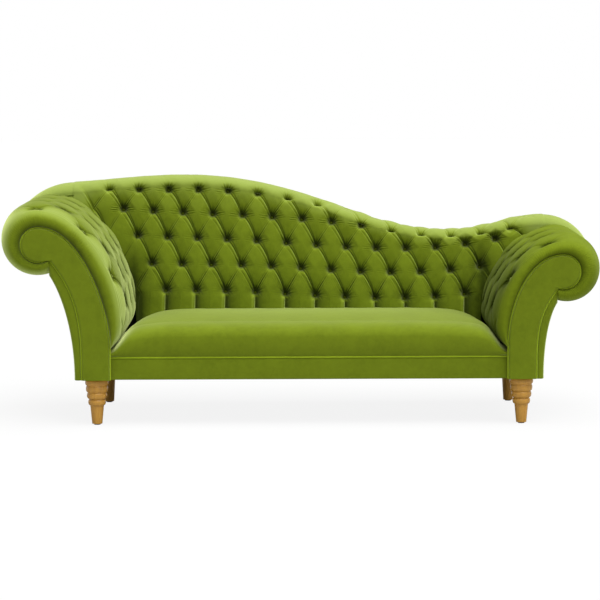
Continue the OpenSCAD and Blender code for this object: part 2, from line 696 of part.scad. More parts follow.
// A column of the back pad: foot, direction towards the top line, length and lattice number.
// Behind the arms the feet rise along a quarter ellipse that the arm pads hide.
function foot_z(x) =
    let (s = x < 0 ? left : right, edge = s == left ? lattice_x : x_in[right] - arm_bulge,
        share = clamped((x - edge) / (wing_x[s] - edge), 0, 1), high = wing_top[s][1] - wing_band)
    back_z + (high - back_z) * sqrt(1 - pow(1 - share, 2));
function upright(i) = let (x = lattice_x + half_w * i) [[x, foot_z(x)], [0, 1], crest_z(x) - foot_z(x), i];
outer_left = floor((lattice_x - wing_x[left]) / half_w);
outer_right = floor((wing_x[right] - x_in[right] + arm_bulge) / half_w);
wing_steps = [6, 6];
function wing_columns(s) = [for (p = wing_arc(s, 1, wing_steps[s]))
    let (e = p - [wing_x[s], wing_z[s]]) [[wing_x[s], wing_z[s]] + (wing_r[s] - wing_band) * e, e, wing_band, undef]];
columns = concat(wing_columns(left), [for (k = [outer_left:-1:1]) upright(-k)],
    [for (h = [0:2 * lattice_n]) upright(h / 2)], [for (k = [1:outer_right]) upright(lattice_n + k)],
    wing_columns(right));

// Depth of the face below its crowns at a lattice place. Under the lowest row only upright pleats run on,
// and the tufts fade towards the edge of the rolled top.
function back_depth(i, q) = q < 2 ? 0.5 * (1 - tuft(i, 0)) : 1 - tuft(i, (q - 2) / 2);
function edge_fade(room) = clamped(2 * room / row_step, 0, 1);

function back_section(c) =
    let (foot = c[0], e = c[1], long = c[2], i = c[3], top_a = long - crest_edge,
        fronts = [for (q = [0:half_rows])
            let (wanted = is_undef(i) ? top_a * q / half_rows : row_z(q, foot[0]) - foot[1],
                a = q == 0 ? 0 : q == half_rows ? top_a :
                    clamped(wanted, q * row_gap, top_a - (half_rows - q) * row_gap),
                plain = is_undef(i) || a != wanted)
            [a, y_face(foot[1] + e[1] * a) + (plain ? 0 : back_tuft * back_depth(i, q) * edge_fade(top_a - a))]],
        z_edge = foot[1] + e[1] * top_a, z_drop = foot[1] + e[1] * (long - crest_drop),
        crown = [[long - crest_edge * 0.22, y_face(z_edge) + crest_t * 0.2], [long, y_face(z_edge) + crest_t * 0.5],
            [top_a, max(y_face(z_edge) + crest_t, y_out(z_edge) + crest_t * 0.12)]],
        rears = [[long - crest_drop, y_out(z_drop) + panel_t], [long - crest_drop, y_pad_rear(z_drop)],
            [0, y_pad_rear(foot[1])]])
    [for (p = concat(fronts, crown, rears)) [foot[0] + e[0] * p[0], p[1], foot[1] + e[1] * p[0]]];

module back_pad() {
    color(velvet) loft([for (c = columns) back_section(c)], wing_steps[left] + 1 + outer_left);
}

module back_buttons() {
    for (j = [0:rows_n - 1], i = [2 - rows_n:lattice_n + rows_n])
        if ((i + j) % 2 == 0 && i >= 2 - j && i <= lattice_n - 1 + j) {
            x = lattice_x + half_w * i;
            z = row_z(2 * j + 2, x);
            room = crest_z(x) - crest_edge - z;
            fade = edge_fade(room);
            near = room - (half_rows - 2 * j - 3) * row_gap;
            slope = back_tuft * fade * max(tuft(0.5, 0) / (half_w / 2), near < row_step / 2 ? 1 / near : 0);
            if (near > button_r)
                translate([x, y_face(z) + back_tuft * fade - button_lift(slope), z])
                    rotate([90 - back_lean, 0, 0]) button();
        }
}

// The region under the top line, drawn across the couch
module under_crest(inset) {
    line = moved(crest_line, -inset);
    last = len(line) - 1;
    polygon(concat(line, [[line[last][0], z_frame - overrun], [line[0][0], z_frame - overrun]]));
}

// Keeps what lies between the front and the rear face of the back's frame
module in_back_frame(low) {
    intersection() {
        children();
        along_x(-total_w, total_w) polygon([[y_post(low), low], [y_post(z_rail), max(low, z_rail)],
            [y_post(back_h), back_h], [y_out(back_h), back_h], [y_out(low), low]]);
    }
}

module back_post(x, low) {
    color(frame_wood) in_back_frame(low) along_y(y_front, -y_front * 2) intersection() {
        under_crest(crest_drop + top_rail_h + 2 * fit);
        translate([x - post_w / 2, low]) square([post_w, back_h]);
    }
}

post_x = [x_in[left] - leg_x, x_in[left] + seat_w / 3, x_in[left] + seat_w * 2 / 3, x_in[right] + leg_x];

module back_top_rail() {
    outer = moved(crest_line, -crest_drop - fit);
    inner = moved(crest_line, -crest_drop - fit - top_rail_h);
    color(frame_wood) in_back_frame(z_rail) along_y(y_front, -y_front * 2)
        polygon(concat(outer, [for (i = [len(inner) - 1:-1:0]) inner[i]]));
}

// Lower rails between the posts, to which the pad and the webbing are tacked
module back_lower_rails() {
    color(frame_wood) for (i = [0:2])
        along_x(post_x[i] + post_w / 2, post_x[i + 1] - post_w / 2)
            polygon([for (p = [[0, 0], [rail_t, 0], [rail_t, batten], [0, batten]])
                [y_post(back_z + p[1]) + p[0], back_z + p[1]]]);
}

web_n = floor((post_x[3] - post_x[0] - post_w) / web_gap);
module back_webbing() {
    step = (post_x[3] - post_x[0] - post_w) / web_n;
    color(cloth) for (i = [0:web_n - 1]) {
        x = post_x[0] + post_w / 2 + step * (i + 0.5);
        high = crest_z(x) - crest_drop - top_rail_h / 2;
        along_x(x - web_w / 2, x + web_w / 2)
            polygon([for (p = [[0, back_z], [web_t, back_z], [web_t, high], [0, high]])
                [y_pad_rear(p[1]) + fit + p[0], p[1]]]);
    }
}

module outside_back() {
    line = moved(crest_line, -crest_drop - fit);
    low_from = 0.22;
    sides = [for (s = [left, right]) [for (p = outer_curve(s, steps, low_from, 1))
        [s == left ? x_in[left] - p[0] : x_in[right] + p[0], p[1]]]];
    color(velvet) intersection() {
        along_y(y_front, -y_front * 2) polygon(concat(line, sides[right],
            [[x_in[right] + stem_w + outer_t, clear_h], [x_in[left] - stem_w - outer_t, clear_h]],
            [for (i = [steps:-1:0]) sides[left][i]]));
        along_x(-total_w, total_w) polygon([for (p = [[0, 0], [panel_t, 0], [panel_t, back_h], [0, back_h]])
            [y_out(p[1]) + p[0], p[1]]]);
    }
}

// Front leg: a beehive of three turned rings under a collar, over a tapered shaft
shaft_top_share = 0.41;
ring_top_shares = [0.56, 0.71, 0.865];
ring_groove_shares = [0, 0.42, 0.75, 1];
function leg_h() = clear_h - glide_t;
function groove(k) = leg_shaft_r + (leg_groove_r - leg_shaft_r) * ring_groove_shares[k];
function ring_profile(low, high, r_low, r_full) = [for (a = [0:30:150])
    [r_low + (r_full - r_low) * sin(a), low + (high - low) * (1 - cos(a)) / 2]];

module front_leg(s) {
    h = leg_h();
    bounds = concat([shaft_top_share], ring_top_shares) * h;
    ring_out = leg_top_r - leg_groove_r;
    rings = [for (k = [0:2]) each ring_profile(bounds[k], bounds[k + 1], groove(k), groove(k + 1) + ring_out * 0.4)];
    collar = ring_profile(bounds[3], h - leg_h() * 0.01, leg_groove_r, leg_top_r);
    color(beech) on_arm(s) translate([leg_x, leg_y[0], glide_t]) difference() {
        rotate_extrude($fn = 64) polygon(concat([[0, 0], [leg_foot_r, 0]], rings, collar, [[leg_groove_r, h], [0, h]]));
        translate([0, 0, h - stud_in - fit]) cylinder(r = stud_r + fit, h = stud_in + overrun);
    }
}

// Rear leg: a plain tapered turning under a thin collar
module rear_leg(s) {
    h = leg_h();
    color(beech) on_arm(s) translate([leg_x, leg_y[1], glide_t]) difference() {
        union() {
            cylinder(r1 = leg_foot_r, r2 = rear_leg_r * 0.93, h = h - rear_collar_t);
            translate([0, 0, h - rear_collar_t]) cylinder(r = rear_leg_r, h = rear_collar_t);
        }
        translate([0, 0, h - stud_in - fit]) cylinder(r = stud_r + fit, h = stud_in + overrun);
    }
}

module leg_glides() {
    color(cloth) for (s = [left, right]) on_arm(s) for (y = leg_y)
        translate([leg_x, y, 0]) cylinder(r = glide_r, h = glide_t);
}

front_rail();
rear_rail();
end_rail(left);  // end_rail_left
end_rail(right);  // end_rail_right
cross_rails();
corner_blocks();
leg_blocks();
seat_springs();
spring_clips();
seat_felt();
seat_pad();
front_border();
seat_welt();
dust_cover();
arm_front_board(left);  // arm_front_board_left
arm_front_board(right);  // arm_front_board_right
arm_rear_board(left);  // arm_rear_board_left
arm_rear_board(right);  // arm_rear_board_right
arm_base_rail(left);  // arm_base_rail_left
arm_base_rail(right);  // arm_base_rail_right
arm_battens(left);  // arm_battens_left
arm_battens(right);  // arm_battens_right
arm_lining(left);  // arm_lining_left
arm_lining(right);  // arm_lining_right
arm_pad(left);  // arm_pad_left
arm_pad(right);  // arm_pad_right
arm_buttons(left);  // arm_buttons_left
arm_buttons(right);  // arm_buttons_right
arm_facing(left);  // arm_facing_left
arm_facing(right);  // arm_facing_right
arm_piping(left);  // arm_piping_left
arm_piping(right);  // arm_piping_right
outside_arm(left);  // outside_arm_left
outside_arm(right);  // outside_arm_right
back_post(post_x[0], z_rail);  // back_post_left
back_post(post_x[3], z_rail);  // back_post_right
for (i = [1, 2]) back_post(post_x[i], z_frame);  // back_inner_posts
back_lower_rails();
back_top_rail();
back_webbing();
back_pad();
back_buttons();
outside_back();
front_leg(left);  // front_leg_left
front_leg(right);  // front_leg_right
rear_leg(left);  // rear_leg_left
rear_leg(right);  // rear_leg_right
leg_studs();
leg_nuts();
leg_glides();
frame_bolts();
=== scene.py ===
"""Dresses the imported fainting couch: buttoned velvet, piping, turned beech legs, camera and soft light."""
import json
from types import SimpleNamespace

import bmesh
import bpy
import numpy as np
from bpy.props import FloatProperty, FloatVectorProperty, PointerProperty
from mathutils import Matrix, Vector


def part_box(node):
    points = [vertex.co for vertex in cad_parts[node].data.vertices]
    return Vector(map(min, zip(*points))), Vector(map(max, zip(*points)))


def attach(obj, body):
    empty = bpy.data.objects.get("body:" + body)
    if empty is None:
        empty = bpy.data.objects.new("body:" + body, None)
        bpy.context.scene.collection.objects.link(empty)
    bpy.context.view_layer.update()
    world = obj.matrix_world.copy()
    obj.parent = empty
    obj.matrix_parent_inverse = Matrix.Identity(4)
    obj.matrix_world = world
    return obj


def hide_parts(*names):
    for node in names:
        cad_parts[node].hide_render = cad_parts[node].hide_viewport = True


bl_info = {
    "name": "Fainting couch",
    "version": (1, 0, 0),
    "blender": (4, 5, 0),
    "location": "View3D > Sidebar > Couch",
    "description": "Builds the velvet, piping, buttons and finishes of a deep-buttoned fainting couch",
    "category": "Add Mesh",
}

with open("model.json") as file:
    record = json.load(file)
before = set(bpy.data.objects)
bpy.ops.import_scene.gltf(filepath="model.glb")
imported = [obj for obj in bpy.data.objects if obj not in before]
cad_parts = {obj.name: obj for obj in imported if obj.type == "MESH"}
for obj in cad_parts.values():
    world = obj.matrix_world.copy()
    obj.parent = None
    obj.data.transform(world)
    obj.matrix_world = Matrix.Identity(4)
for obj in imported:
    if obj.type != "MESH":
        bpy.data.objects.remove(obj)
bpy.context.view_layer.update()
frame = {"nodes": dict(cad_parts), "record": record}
LEFT, RIGHT = 0, 1
SIDES = ("left", "right")


# ---------------------------------------------------------------- settings

def length(name, value, text):
    return FloatProperty(name=name, default=value, unit="LENGTH", precision=4, description=text)


def colour(name, value, text):
    return FloatVectorProperty(name=name, default=linear(value)[:3], subtype="COLOR", min=0, max=1, description=text)


def linear(value):
    """Linear RGBA of an sRGB hex colour: c / 12.92 below 0.04045, else ((c + 0.055) / 1.055) to the power 2.4."""
    c = np.array([int(value[i:i + 2], 16) for i in (1, 3, 5)]) / 255
    c = np.where(c <= 0.04045, c / 12.92, ((c + 0.055) / 1.055) ** 2.4)
    return (*map(float, c), 1.0)


class CouchSizes(bpy.types.PropertyGroup):
    """Sizes of the upholstery, in the couch's own frame."""
    seat_w: length("Seat width", 1.482, "Clear width between the inner edges of the two front scrolls")
    seat_d: length("Seat depth", 0.602, "Depth from the front scrolls to the face of the back at seat height")
    seat_h: length("Seat height", 0.380, "Height of the seat pad where it meets the back")
    back_h: length("Back height", 0.898, "Height of the highest point of the back")
    under: length("Underside", 0.171, "Height of the underside of the upholstery")
    back_tuft: length("Back tufts", 0.038, "Depth of the buttons of the back")
    arm_tuft: length("Arm tufts", 0.028, "Depth of the buttons of the arms")
    button_r: length("Button radius", 0.0082, "Radius of a covered button")
    pipe_r: length("Piping radius", 0.0028, "Radius of the piping round the facings")
    welt_r: length("Welt radius", 0.0035, "Radius of the welt under the seat")


class CouchColours(bpy.types.PropertyGroup):
    """Colours of the finishes."""
    velvet: colour("Velvet", "#697916", "Velvet seen along its pile")
    # Painted shade: the velvet is mixed towards this tone in folds, button hollows and corners, and a little in random
    # patches
    velvet_patches_and_painted_shade: colour("Velvet shade", "#263000", "Velvet in the folds, where the pile points at the eye")
    # Painted light: the velvet is mixed towards this tone on the crest, the wings, the lips of folds and the rear of
    # the seat
    velvet_painted_light: colour("Brushed velvet", "#84934a", "Velvet whose pile lies towards the light")
    velvet_sheen: colour("Velvet sheen", "#dcea98", "Light caught by the tips of the pile")
    beech: colour("Beech", "#b78833", "Varnished beech")
    beech_dark: colour("Beech grain", "#8c5c22", "Grain and grooves of the beech")


# ---------------------------------------------------------------- curves and shapes

def cubic(a, b, c, d, t):
    """Cubic curve: the four points weighted by s^3, 3 s^2 t, 3 s t^2 and t^3, with s = 1 - t."""
    t = np.asarray(t)[:, None]
    s = 1 - t
    a, b, c, d = map(np.asarray, (a, b, c, d))
    return a * s ** 3 + 3 * b * s * s * t + 3 * c * s * t * t + d * t ** 3


def arc(centre, r, start, end, n):
    """Points at the radius r from centre, at n even angles in degrees."""
    w = np.radians(np.linspace(start, end, n))
    return np.asarray(centre) + r * np.stack([np.cos(w), np.sin(w)], -1)


def smooth(x, low, high):
    """Rises from 0 at low to 1 at high as 3 t^2 - 2 t^3."""
    t = np.clip((np.asarray(x) - low) / (high - low), 0, 1)
    return t * t * (3 - 2 * t)


def run(path):
    """Distance along a path to each of its points."""
    return np.concatenate([[0], np.cumsum(np.linalg.norm(np.diff(path, axis=0), axis=1))])


def even(path, n):
    """The path again, as n points at even distances."""
    s = run(path)
    t = np.linspace(0, s[-1], n)
    return np.stack([np.interp(t, s, path[:, k]) for k in range(path.shape[1])], -1)


def sideways(path, d):
    """The path moved by d to its left: each point goes along the normal of the line through its neighbours."""
    along = np.gradient(path, axis=0)
    along /= np.linalg.norm(along, axis=1)[:, None]
    return path + d * np.stack([-along[:, 1], along[:, 0]], -1)


def hashed(a, b, seed=0.0):
    """A fixed number from 0 to 1 for each pair: the fraction of 43758.5453 sin(12.9898 a + 78.233 b + 37.719 seed)."""
    v = np.sin(a * 12.9898 + b * 78.233 + seed * 37.719) * 43758.5453
    return v - np.floor(v)


def waves(x, y, seed, scale):
    """Soft irregular waves from -1 to 1: the mean of sines in five fixed directions."""
    total = 0
    for k in range(5):
        w = seed * 2.4 + k * 1.9
        total = total + np.sin((x * np.cos(w) + y * np.sin(w)) * (1 + 0.37 * k) / scale + seed + 2.1 * k)
    return total / 5


def couch():
    """The lengths and curves that follow from the settings, in metres. Each pair has the high end's value first."""
    s = bpy.context.scene.couch_sizes
    g = SimpleNamespace(**{k: getattr(s, k) for k in CouchSizes.__annotations__})
    # Gap between pieces that touch
    g.fit = 0.0003
    # Frame: its underside, the top of its rails, the top of the springs and felt on them, the depth of the back's posts
    rail_h, spring_t, felt_t = 0.072, 0.004, 0.008
    g.z_frame = g.under + 0.002
    g.z_rail = g.z_frame + rail_h
    g.z_pad = g.z_frame + rail_h + spring_t + felt_t + g.fit
    g.post_d = 0.095
    # Back: slopes of its face and of its frame's rear, depth of the rolled top, height over which the face turns into
    # it, how far it hangs down behind, thickness of the pad, its width round the wings, and the webbing behind it
    g.lean, g.rear_lean = np.tan(np.radians(12.5)), np.tan(np.radians(7.5))
    g.crest_t, g.edge, g.drop, g.pad_t, g.band, g.web_t = 0.150, 0.045, 0.090, 0.075, 0.120, 0.002
    # Arms: how far the pads swell over the seat and at what height, and the height of their lower edge
    g.bulge, g.bulge_z, g.pad_z = 0.066, (0.405, 0.375), 0.289
    # Facings: thickness, width of the stem, height where its inner edge starts to turn, and the outside's swell past it
    g.facing_t, g.stem_w, g.stem_z, g.outer_t = 0.014, 0.100, 0.296, 0.030
    # Scrolls, out from their inner edge and up: heads of the facings and rolls of the pads round them, the angles at
    # which they end below, and how steeply the inner edge rises
    g.head, g.head_r = np.array([[0.259, 0.675], [0.201, 0.568]]), (0.061, 0.060)
    g.roll, g.roll_r = np.array([[0.272, 0.690], [0.2240, 0.5730]]), (0.139, 0.128)
    g.notch_a, g.roll_a, g.rise = (-129.5, -109), (-112, -110), (0.27, 0.44)
    # Wings of the back: centres, radii and end angles. The velvet of the high one is 5 mm fuller than its solid
    wing_out, solid_r = (0.182, 0.186), (0.262, 0.198)
    g.wing_z, g.wing_r, g.wing_end = (0.604, 0.540), (0.267, 0.198), (189.5, -39)
    total_w = g.seat_w + sum(wing_out) + sum(solid_r)
    total_d = g.seat_d + (g.back_h - g.edge - g.seat_h) * g.lean + g.crest_t
    g.y0 = -total_d / 2
    g.y_board = g.y0 + g.facing_t
    g.x_in = (wing_out[0] + solid_r[0] - total_w / 2, total_w / 2 - wing_out[1] - solid_r[1])
    g.wing_x = (g.x_in[0] - wing_out[0], g.x_in[1] + wing_out[1])
    # Heights of the five rows of buttons at six even places across the seat, from the high end to the low one
    rows = np.array([[0.456, 0.452, 0.442, 0.425, 0.421, 0.456], [0.566, 0.553, 0.544, 0.525, 0.519, 0.550],
                     [0.672, 0.654, 0.639, 0.617, 0.612, 0.648], [0.769, 0.751, 0.736, 0.708, 0.675, 0.690],
                     [0.849, 0.842, 0.821, 0.774, 0.738, 0.739]])
    below, above = 0.10, 0.09
    g.row_lines = np.polyfit(np.linspace(0, 1, 6), np.concatenate([rows[:1] - below, rows, rows[-1:] + above]).T, 5)
    g.rows, g.row_step = len(rows), 0.099
    # Columns of buttons: the first one, how many, and half the width of a diamond, near 58.7 mm
    between = g.seat_w - 2 * g.bulge
    g.lattice_x, g.lattice_n = g.x_in[0] + g.bulge, round(between / 0.0587)
    g.half_w = between / g.lattice_n
    # Buttons of the arms: rows and their spacing along the profile, columns and their spacing in depth
    g.arm_rows, g.arm_row, g.arm_row0, g.arm_col, g.arm_col0 = (5, 3), 0.1076, (0.186, 0.175), 0.098, 0.064
    # Crest: from the high wing over the hump and down through the dip to the low wing
    tops = [np.array([g.wing_x[k], g.wing_z[k] + g.wing_r[k]]) for k in (LEFT, RIGHT)]
    hump = np.array([g.x_in[0] + g.seat_w * 0.167, g.back_h])
    dip = np.array([g.x_in[0] + g.seat_w * 0.866, 0.685])

    def swept(a, b, p, q, up=0.0):
        w = b[0] - a[0]
        return cubic(a, a + [w * p, (b[1] - a[1]) * up], b - [w * q, 0], b, np.linspace(0, 1, 80))

    g.crest = np.concatenate([swept(tops[0], hump, 0.33, 0.37, 0.33)[:-1], swept(hump, dip, 0.46, 0.32)[:-1],
                              swept(dip, tops[1], 0.45, 0.41)])
    return g


def at_side(g, side, out):
    """X of a place that lies out from the inner edge of a scroll."""
    return g.x_in[0] - out if side == LEFT else g.x_in[1] + out


def face_y(g, z):
    """Depth of the back's face at a height: it leans back from the seat upwards."""
    return g.y0 + g.seat_d + (z - g.seat_h) * g.lean


def out_y(g, z):
    """Depth of the frame's rear face: it leans from the posts' foot, which stands a post's depth behind their front."""
    return face_y(g, g.z_rail) + g.pad_t + g.web_t + g.fit + g.post_d + (z - g.z_rail) * g.rear_lean


def crest_z(g, x):
    """Height of the crest over a place along the couch."""
    return np.interp(x, g.crest[:, 0], g.crest[:, 1])


# ---------------------------------------------------------------- meshes and materials

def skin(name, loops, finish, replaces=(), crease=None, sharp=None):
    """A closed skin through n loops of k points each, with an n-gon over each end, made one piece of the couch."""
    n, k = loops.shape[:2]
    i, j = np.arange(n - 1)[:, None] * k, np.arange(k)[None, :]
    quads = np.stack([i + j, i + (j + 1) % k, i + k + (j + 1) % k, i + k + j], -1).reshape(-1, 4)
    ends = [np.arange(k)[::-1], np.arange(k) + (n - 1) * k]
    mesh = bpy.data.meshes.new(name)
    mesh.vertices.add(n * k)
    mesh.vertices.foreach_set("co", loops.reshape(-1).astype(np.float32))
    corners = np.concatenate([quads.reshape(-1), *ends]).astype(np.int32)
    sizes = np.concatenate([np.full(len(quads), 4), [k] * len(ends)]).astype(np.int32)
    mesh.loops.add(len(corners))
    mesh.loops.foreach_set("vertex_index", corners)
    mesh.polygons.add(len(sizes))
    mesh.polygons.foreach_set("loop_start", np.concatenate([[0], np.cumsum(sizes)[:-1]]).astype(np.int32))
    mesh.polygons.foreach_set("loop_total", sizes)
    mesh.update(calc_edges=True)
    # The crease attribute carries painted shade above zero and painted light below zero, for the velvet to mix in
    if crease is not None:
        mesh.attributes.new("crease", "FLOAT", "POINT").data.foreach_set("value", crease.reshape(-1).astype(np.float32))
    return piece(name, mesh, finish, replaces, sharp)


def piece(name, mesh, finish, replaces=(), sharp=None):
    """Turns a mesh's faces outwards, smooths it and makes it a piece that rides on the couch."""
    work = bmesh.new()
    work.from_mesh(mesh)
    bmesh.ops.remove_doubles(work, verts=work.verts, dist=1e-6)
    bmesh.ops.recalc_face_normals(work, faces=work.faces)
    work.to_mesh(mesh)
    work.free()
    mesh.polygons.foreach_set("use_smooth", np.ones(len(mesh.polygons), bool))
    if sharp is not None:
        mesh.set_sharp_from_angle(angle=np.radians(sharp))
    mesh.materials.append(finish)
    obj = bpy.data.objects.new(name, mesh)
    bpy.context.scene.collection.objects.link(obj)
    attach(obj, "root")
    if replaces:
        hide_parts(*replaces)
    return obj


def many(name, shape, places, finish, replaces=()):
    """One piece of many like shapes. shape is (vertices, faces), places are 4 x 4 matrices."""
    verts, faces = shape
    v = np.concatenate([verts, np.ones((len(verts), 1))], 1)
    all_v = np.einsum("mij,vj->mvi", np.array(places), v)[..., :3].reshape(-1, 3)
    all_f = [tuple(i + m * len(verts) for i in f) for m in range(len(places)) for f in faces]
    mesh = bpy.data.meshes.new(name)
    mesh.from_pydata(all_v.tolist(), [], all_f)
    return piece(name, mesh, finish, replaces)


def tube(path, r):
    """Loops of a round tube along a path: rings square to it, turned so that one axis stays as near +Y as it can."""
    sides = 12
    along = np.gradient(path, axis=0)
    along /= np.linalg.norm(along, axis=1)[:, None]
    up = np.array([0, 1, 0]) - along * along[:, 1:2]
    up /= np.linalg.norm(up, axis=1)[:, None]
    side = np.cross(along, up)
    w = np.linspace(0, 2 * np.pi, sides, endpoint=False)[None, :, None]
    return path[:, None] + r * (np.cos(w) * side[:, None] + np.sin(w) * up[:, None])


def add(tree, kind, inputs=None, **settings):
    """Adds a node. Settings go on the node, inputs on its sockets: a socket is linked, another value is set."""
    new = tree.nodes.new(kind)
    for key, value in settings.items():
        setattr(new, key, value)
    for key, value in (inputs or {}).items():
        if isinstance(value, bpy.types.NodeSocket):
            tree.links.new(value, new.inputs[key])
        else:
            new.inputs[key].default_value = value
    return new


def new_material(name):
    """An empty node material with its output, and the object's own coordinates."""
    mat = bpy.data.materials.get(name) or bpy.data.materials.new(name)
    mat.use_nodes = True
    mat.node_tree.nodes.clear()
    out = add(mat.node_tree, "ShaderNodeOutputMaterial")
    where = add(mat.node_tree, "ShaderNodeTexCoord").outputs["Object"]
    return mat, mat.node_tree, out, where


def rgba(value):
    """A colour property's value with full alpha."""
    return (*value, 1.0)


def velvet(name="moss_green_velvet", shade=1.0, fine=1.0, sheen=1.0):
    """Woven cotton velvet: a matt ground with a short upright pile, so it's dark looked at along the pile and pale
    where the tips catch light. The crease attribute paints shade into the folds and hollows and paints light on the
    crest and the lips of folds. The pile lies a little this way and that in soft patches. shade scales its tones, fine
    the number of streaks, and sheen is how much light the tips catch."""
    if name in bpy.data.materials:
        return bpy.data.materials[name]
    c = bpy.context.scene.couch_colours
    # Tones: the velvet's own, its painted shade and its painted light
    along, away, towards = (rgba([v * shade for v in tone]) for tone in (c.velvet, c.velvet_patches_and_painted_shade, c.velvet_painted_light))
    mat, tree, out, where = new_material(name)
    # Patches about 100 mm wide, in which the pile lies one way and the velvet looks a little darker or paler
    patches = add(tree, "ShaderNodeTexNoise", {"Vector": where, "Scale": 9.0, "Detail": 3.0, "Roughness": 0.6})
    # Streaks 10 to 20 mm long left by brushing the pile
    streaks = add(tree, "ShaderNodeTexNoise", {"Vector": where, "Scale": 55.0 * fine, "Detail": 4.0,
                                               "Roughness": 0.65, "Distortion": 0.6})
    fold = add(tree, "ShaderNodeAttribute", attribute_name="crease").outputs["Fac"]
    blend = add(tree, "ShaderNodeMath", {0: patches.outputs["Fac"], 1: streaks.outputs["Fac"]}, operation="MULTIPLY")
    nap = add(tree, "ShaderNodeMapRange", {"Value": blend.outputs[0], "From Min": 0.12, "From Max": 0.42,
                                           "To Min": 0.17, "To Max": 0.36})
    # Above zero the crease attribute paints shade: in the folds, in the button hollows and beside the buttons
    held = add(tree, "ShaderNodeMath", {0: fold, 1: 0.92}, operation="MULTIPLY")
    deep = add(tree, "ShaderNodeMath", {0: nap.outputs[0], 1: held.outputs[0]}, operation="ADD", use_clamp=True)
    mix = add(tree, "ShaderNodeMix", {0: deep.outputs[0], 6: along, 7: away}, data_type="RGBA")
    # Below zero it paints light: on the crest, the wings, the lips of folds and the rear of the seat
    lit = add(tree, "ShaderNodeMath", {0: fold, 1: -1.0}, operation="MULTIPLY", use_clamp=True)
    mix = add(tree, "ShaderNodeMix", {0: lit.outputs[0], 6: mix.outputs[2], 7: towards}, data_type="RGBA")
    # Pile tips about 0.5 mm apart are too fine to show, so the bump is drawn 3 to 4 mm coarse
    pile = add(tree, "ShaderNodeTexNoise", {"Vector": where, "Scale": 260.0, "Detail": 3.0, "Roughness": 0.7})
    lie = add(tree, "ShaderNodeBump", {"Height": streaks.outputs["Fac"], "Strength": 0.2, "Distance": 0.003})
    bump = add(tree, "ShaderNodeBump", {"Height": pile.outputs["Fac"], "Strength": 0.2, "Distance": 0.001,
                                        "Normal": lie.outputs[0]})
    body = add(tree, "ShaderNodeBsdfPrincipled", {
        "Base Color": mix.outputs[2], "Roughness": 0.85, "IOR": 1.45, "Specular IOR Level": 0.04,
        "Sheen Weight": sheen, "Sheen Roughness": 0.40, "Sheen Tint": rgba(c.velvet_sheen), "Normal": bump.outputs[0]})
    tree.links.new(body.outputs[0], out.inputs["Surface"])
    return mat


def button_velvet():
    """The velvet of the buttons: a copy at 0.6 of the velvet's tones, painted shade for the hollows they lie in."""
    return velvet("button_velvet", shade=0.6)


def piping_velvet():
    """Velvet stretched round cord: a copy with its tones 2.1 times paler as painted light, so the cord shows as a lit
    line, finely streaked and with little sheen.
    """
    return velvet("piping_velvet", shade=2.1, fine=3.0, sheen=0.3)


def beech():
    """Turned beech under satin varnish: warm yellow brown with fine darker flecks along the grain, and darker in the
    turned grooves, where other wood stands close."""
    c = bpy.context.scene.couch_colours
    mat, tree, out, where = new_material("varnished_beech")
    # Grain lines about 8 mm apart that run down the leg, and flecks about 2 mm wide and 15 mm long on them
    along = add(tree, "ShaderNodeMapping", {"Vector": where, "Scale": (60.0, 60.0, 5.0)})
    grain = add(tree, "ShaderNodeTexNoise", {"Vector": along.outputs[0], "Scale": 2.2, "Detail": 6.0, "Roughness": 0.7})
    flecks = add(tree, "ShaderNodeMapping", {"Vector": where, "Scale": (420.0, 420.0, 60.0)})
    fleck = add(tree, "ShaderNodeTexNoise", {"Vector": flecks.outputs[0], "Scale": 1.0, "Detail": 2.0})
    ramp = add(tree, "ShaderNodeMapRange", {"Value": grain.outputs["Fac"], "From Min": 0.4, "From Max": 0.8,
                                            "To Max": 0.7})
    speck = add(tree, "ShaderNodeMapRange", {"Value": fleck.outputs["Fac"], "From Min": 0.56, "From Max": 0.7,
                                             "To Max": 0.6})
    # Darker in the turned grooves, where other wood stands within 12 mm
    groove_closeness = add(tree, "ShaderNodeAmbientOcclusion", {"Distance": 0.012}, inside=False)
    stain = add(tree, "ShaderNodeMapRange", {"Value": groove_closeness.outputs["AO"], "From Min": 0.75, "From Max": 0.35,
                                             "To Max": 0.8})
    both = add(tree, "ShaderNodeMath", {0: ramp.outputs[0], 1: speck.outputs[0]}, operation="MAXIMUM", use_clamp=True)
    dark = add(tree, "ShaderNodeMath", {0: both.outputs[0], 1: stain.outputs[0]}, operation="MAXIMUM", use_clamp=True)
    mix = add(tree, "ShaderNodeMix", {0: dark.outputs[0], 6: rgba(c.beech), 7: rgba(c.beech_dark)}, data_type="RGBA")
    bump = add(tree, "ShaderNodeBump", {"Height": both.outputs[0], "Strength": 0.12, "Distance": 0.0006})
    body = add(tree, "ShaderNodeBsdfPrincipled", {
        "Base Color": mix.outputs[2], "Roughness": 0.42, "IOR": 1.45, "Specular IOR Level": 0.3, "Coat Weight": 0.2,
        "Coat Roughness": 0.2, "Normal": bump.outputs[0]})
    tree.links.new(body.outputs[0], out.inputs["Surface"])
    return mat


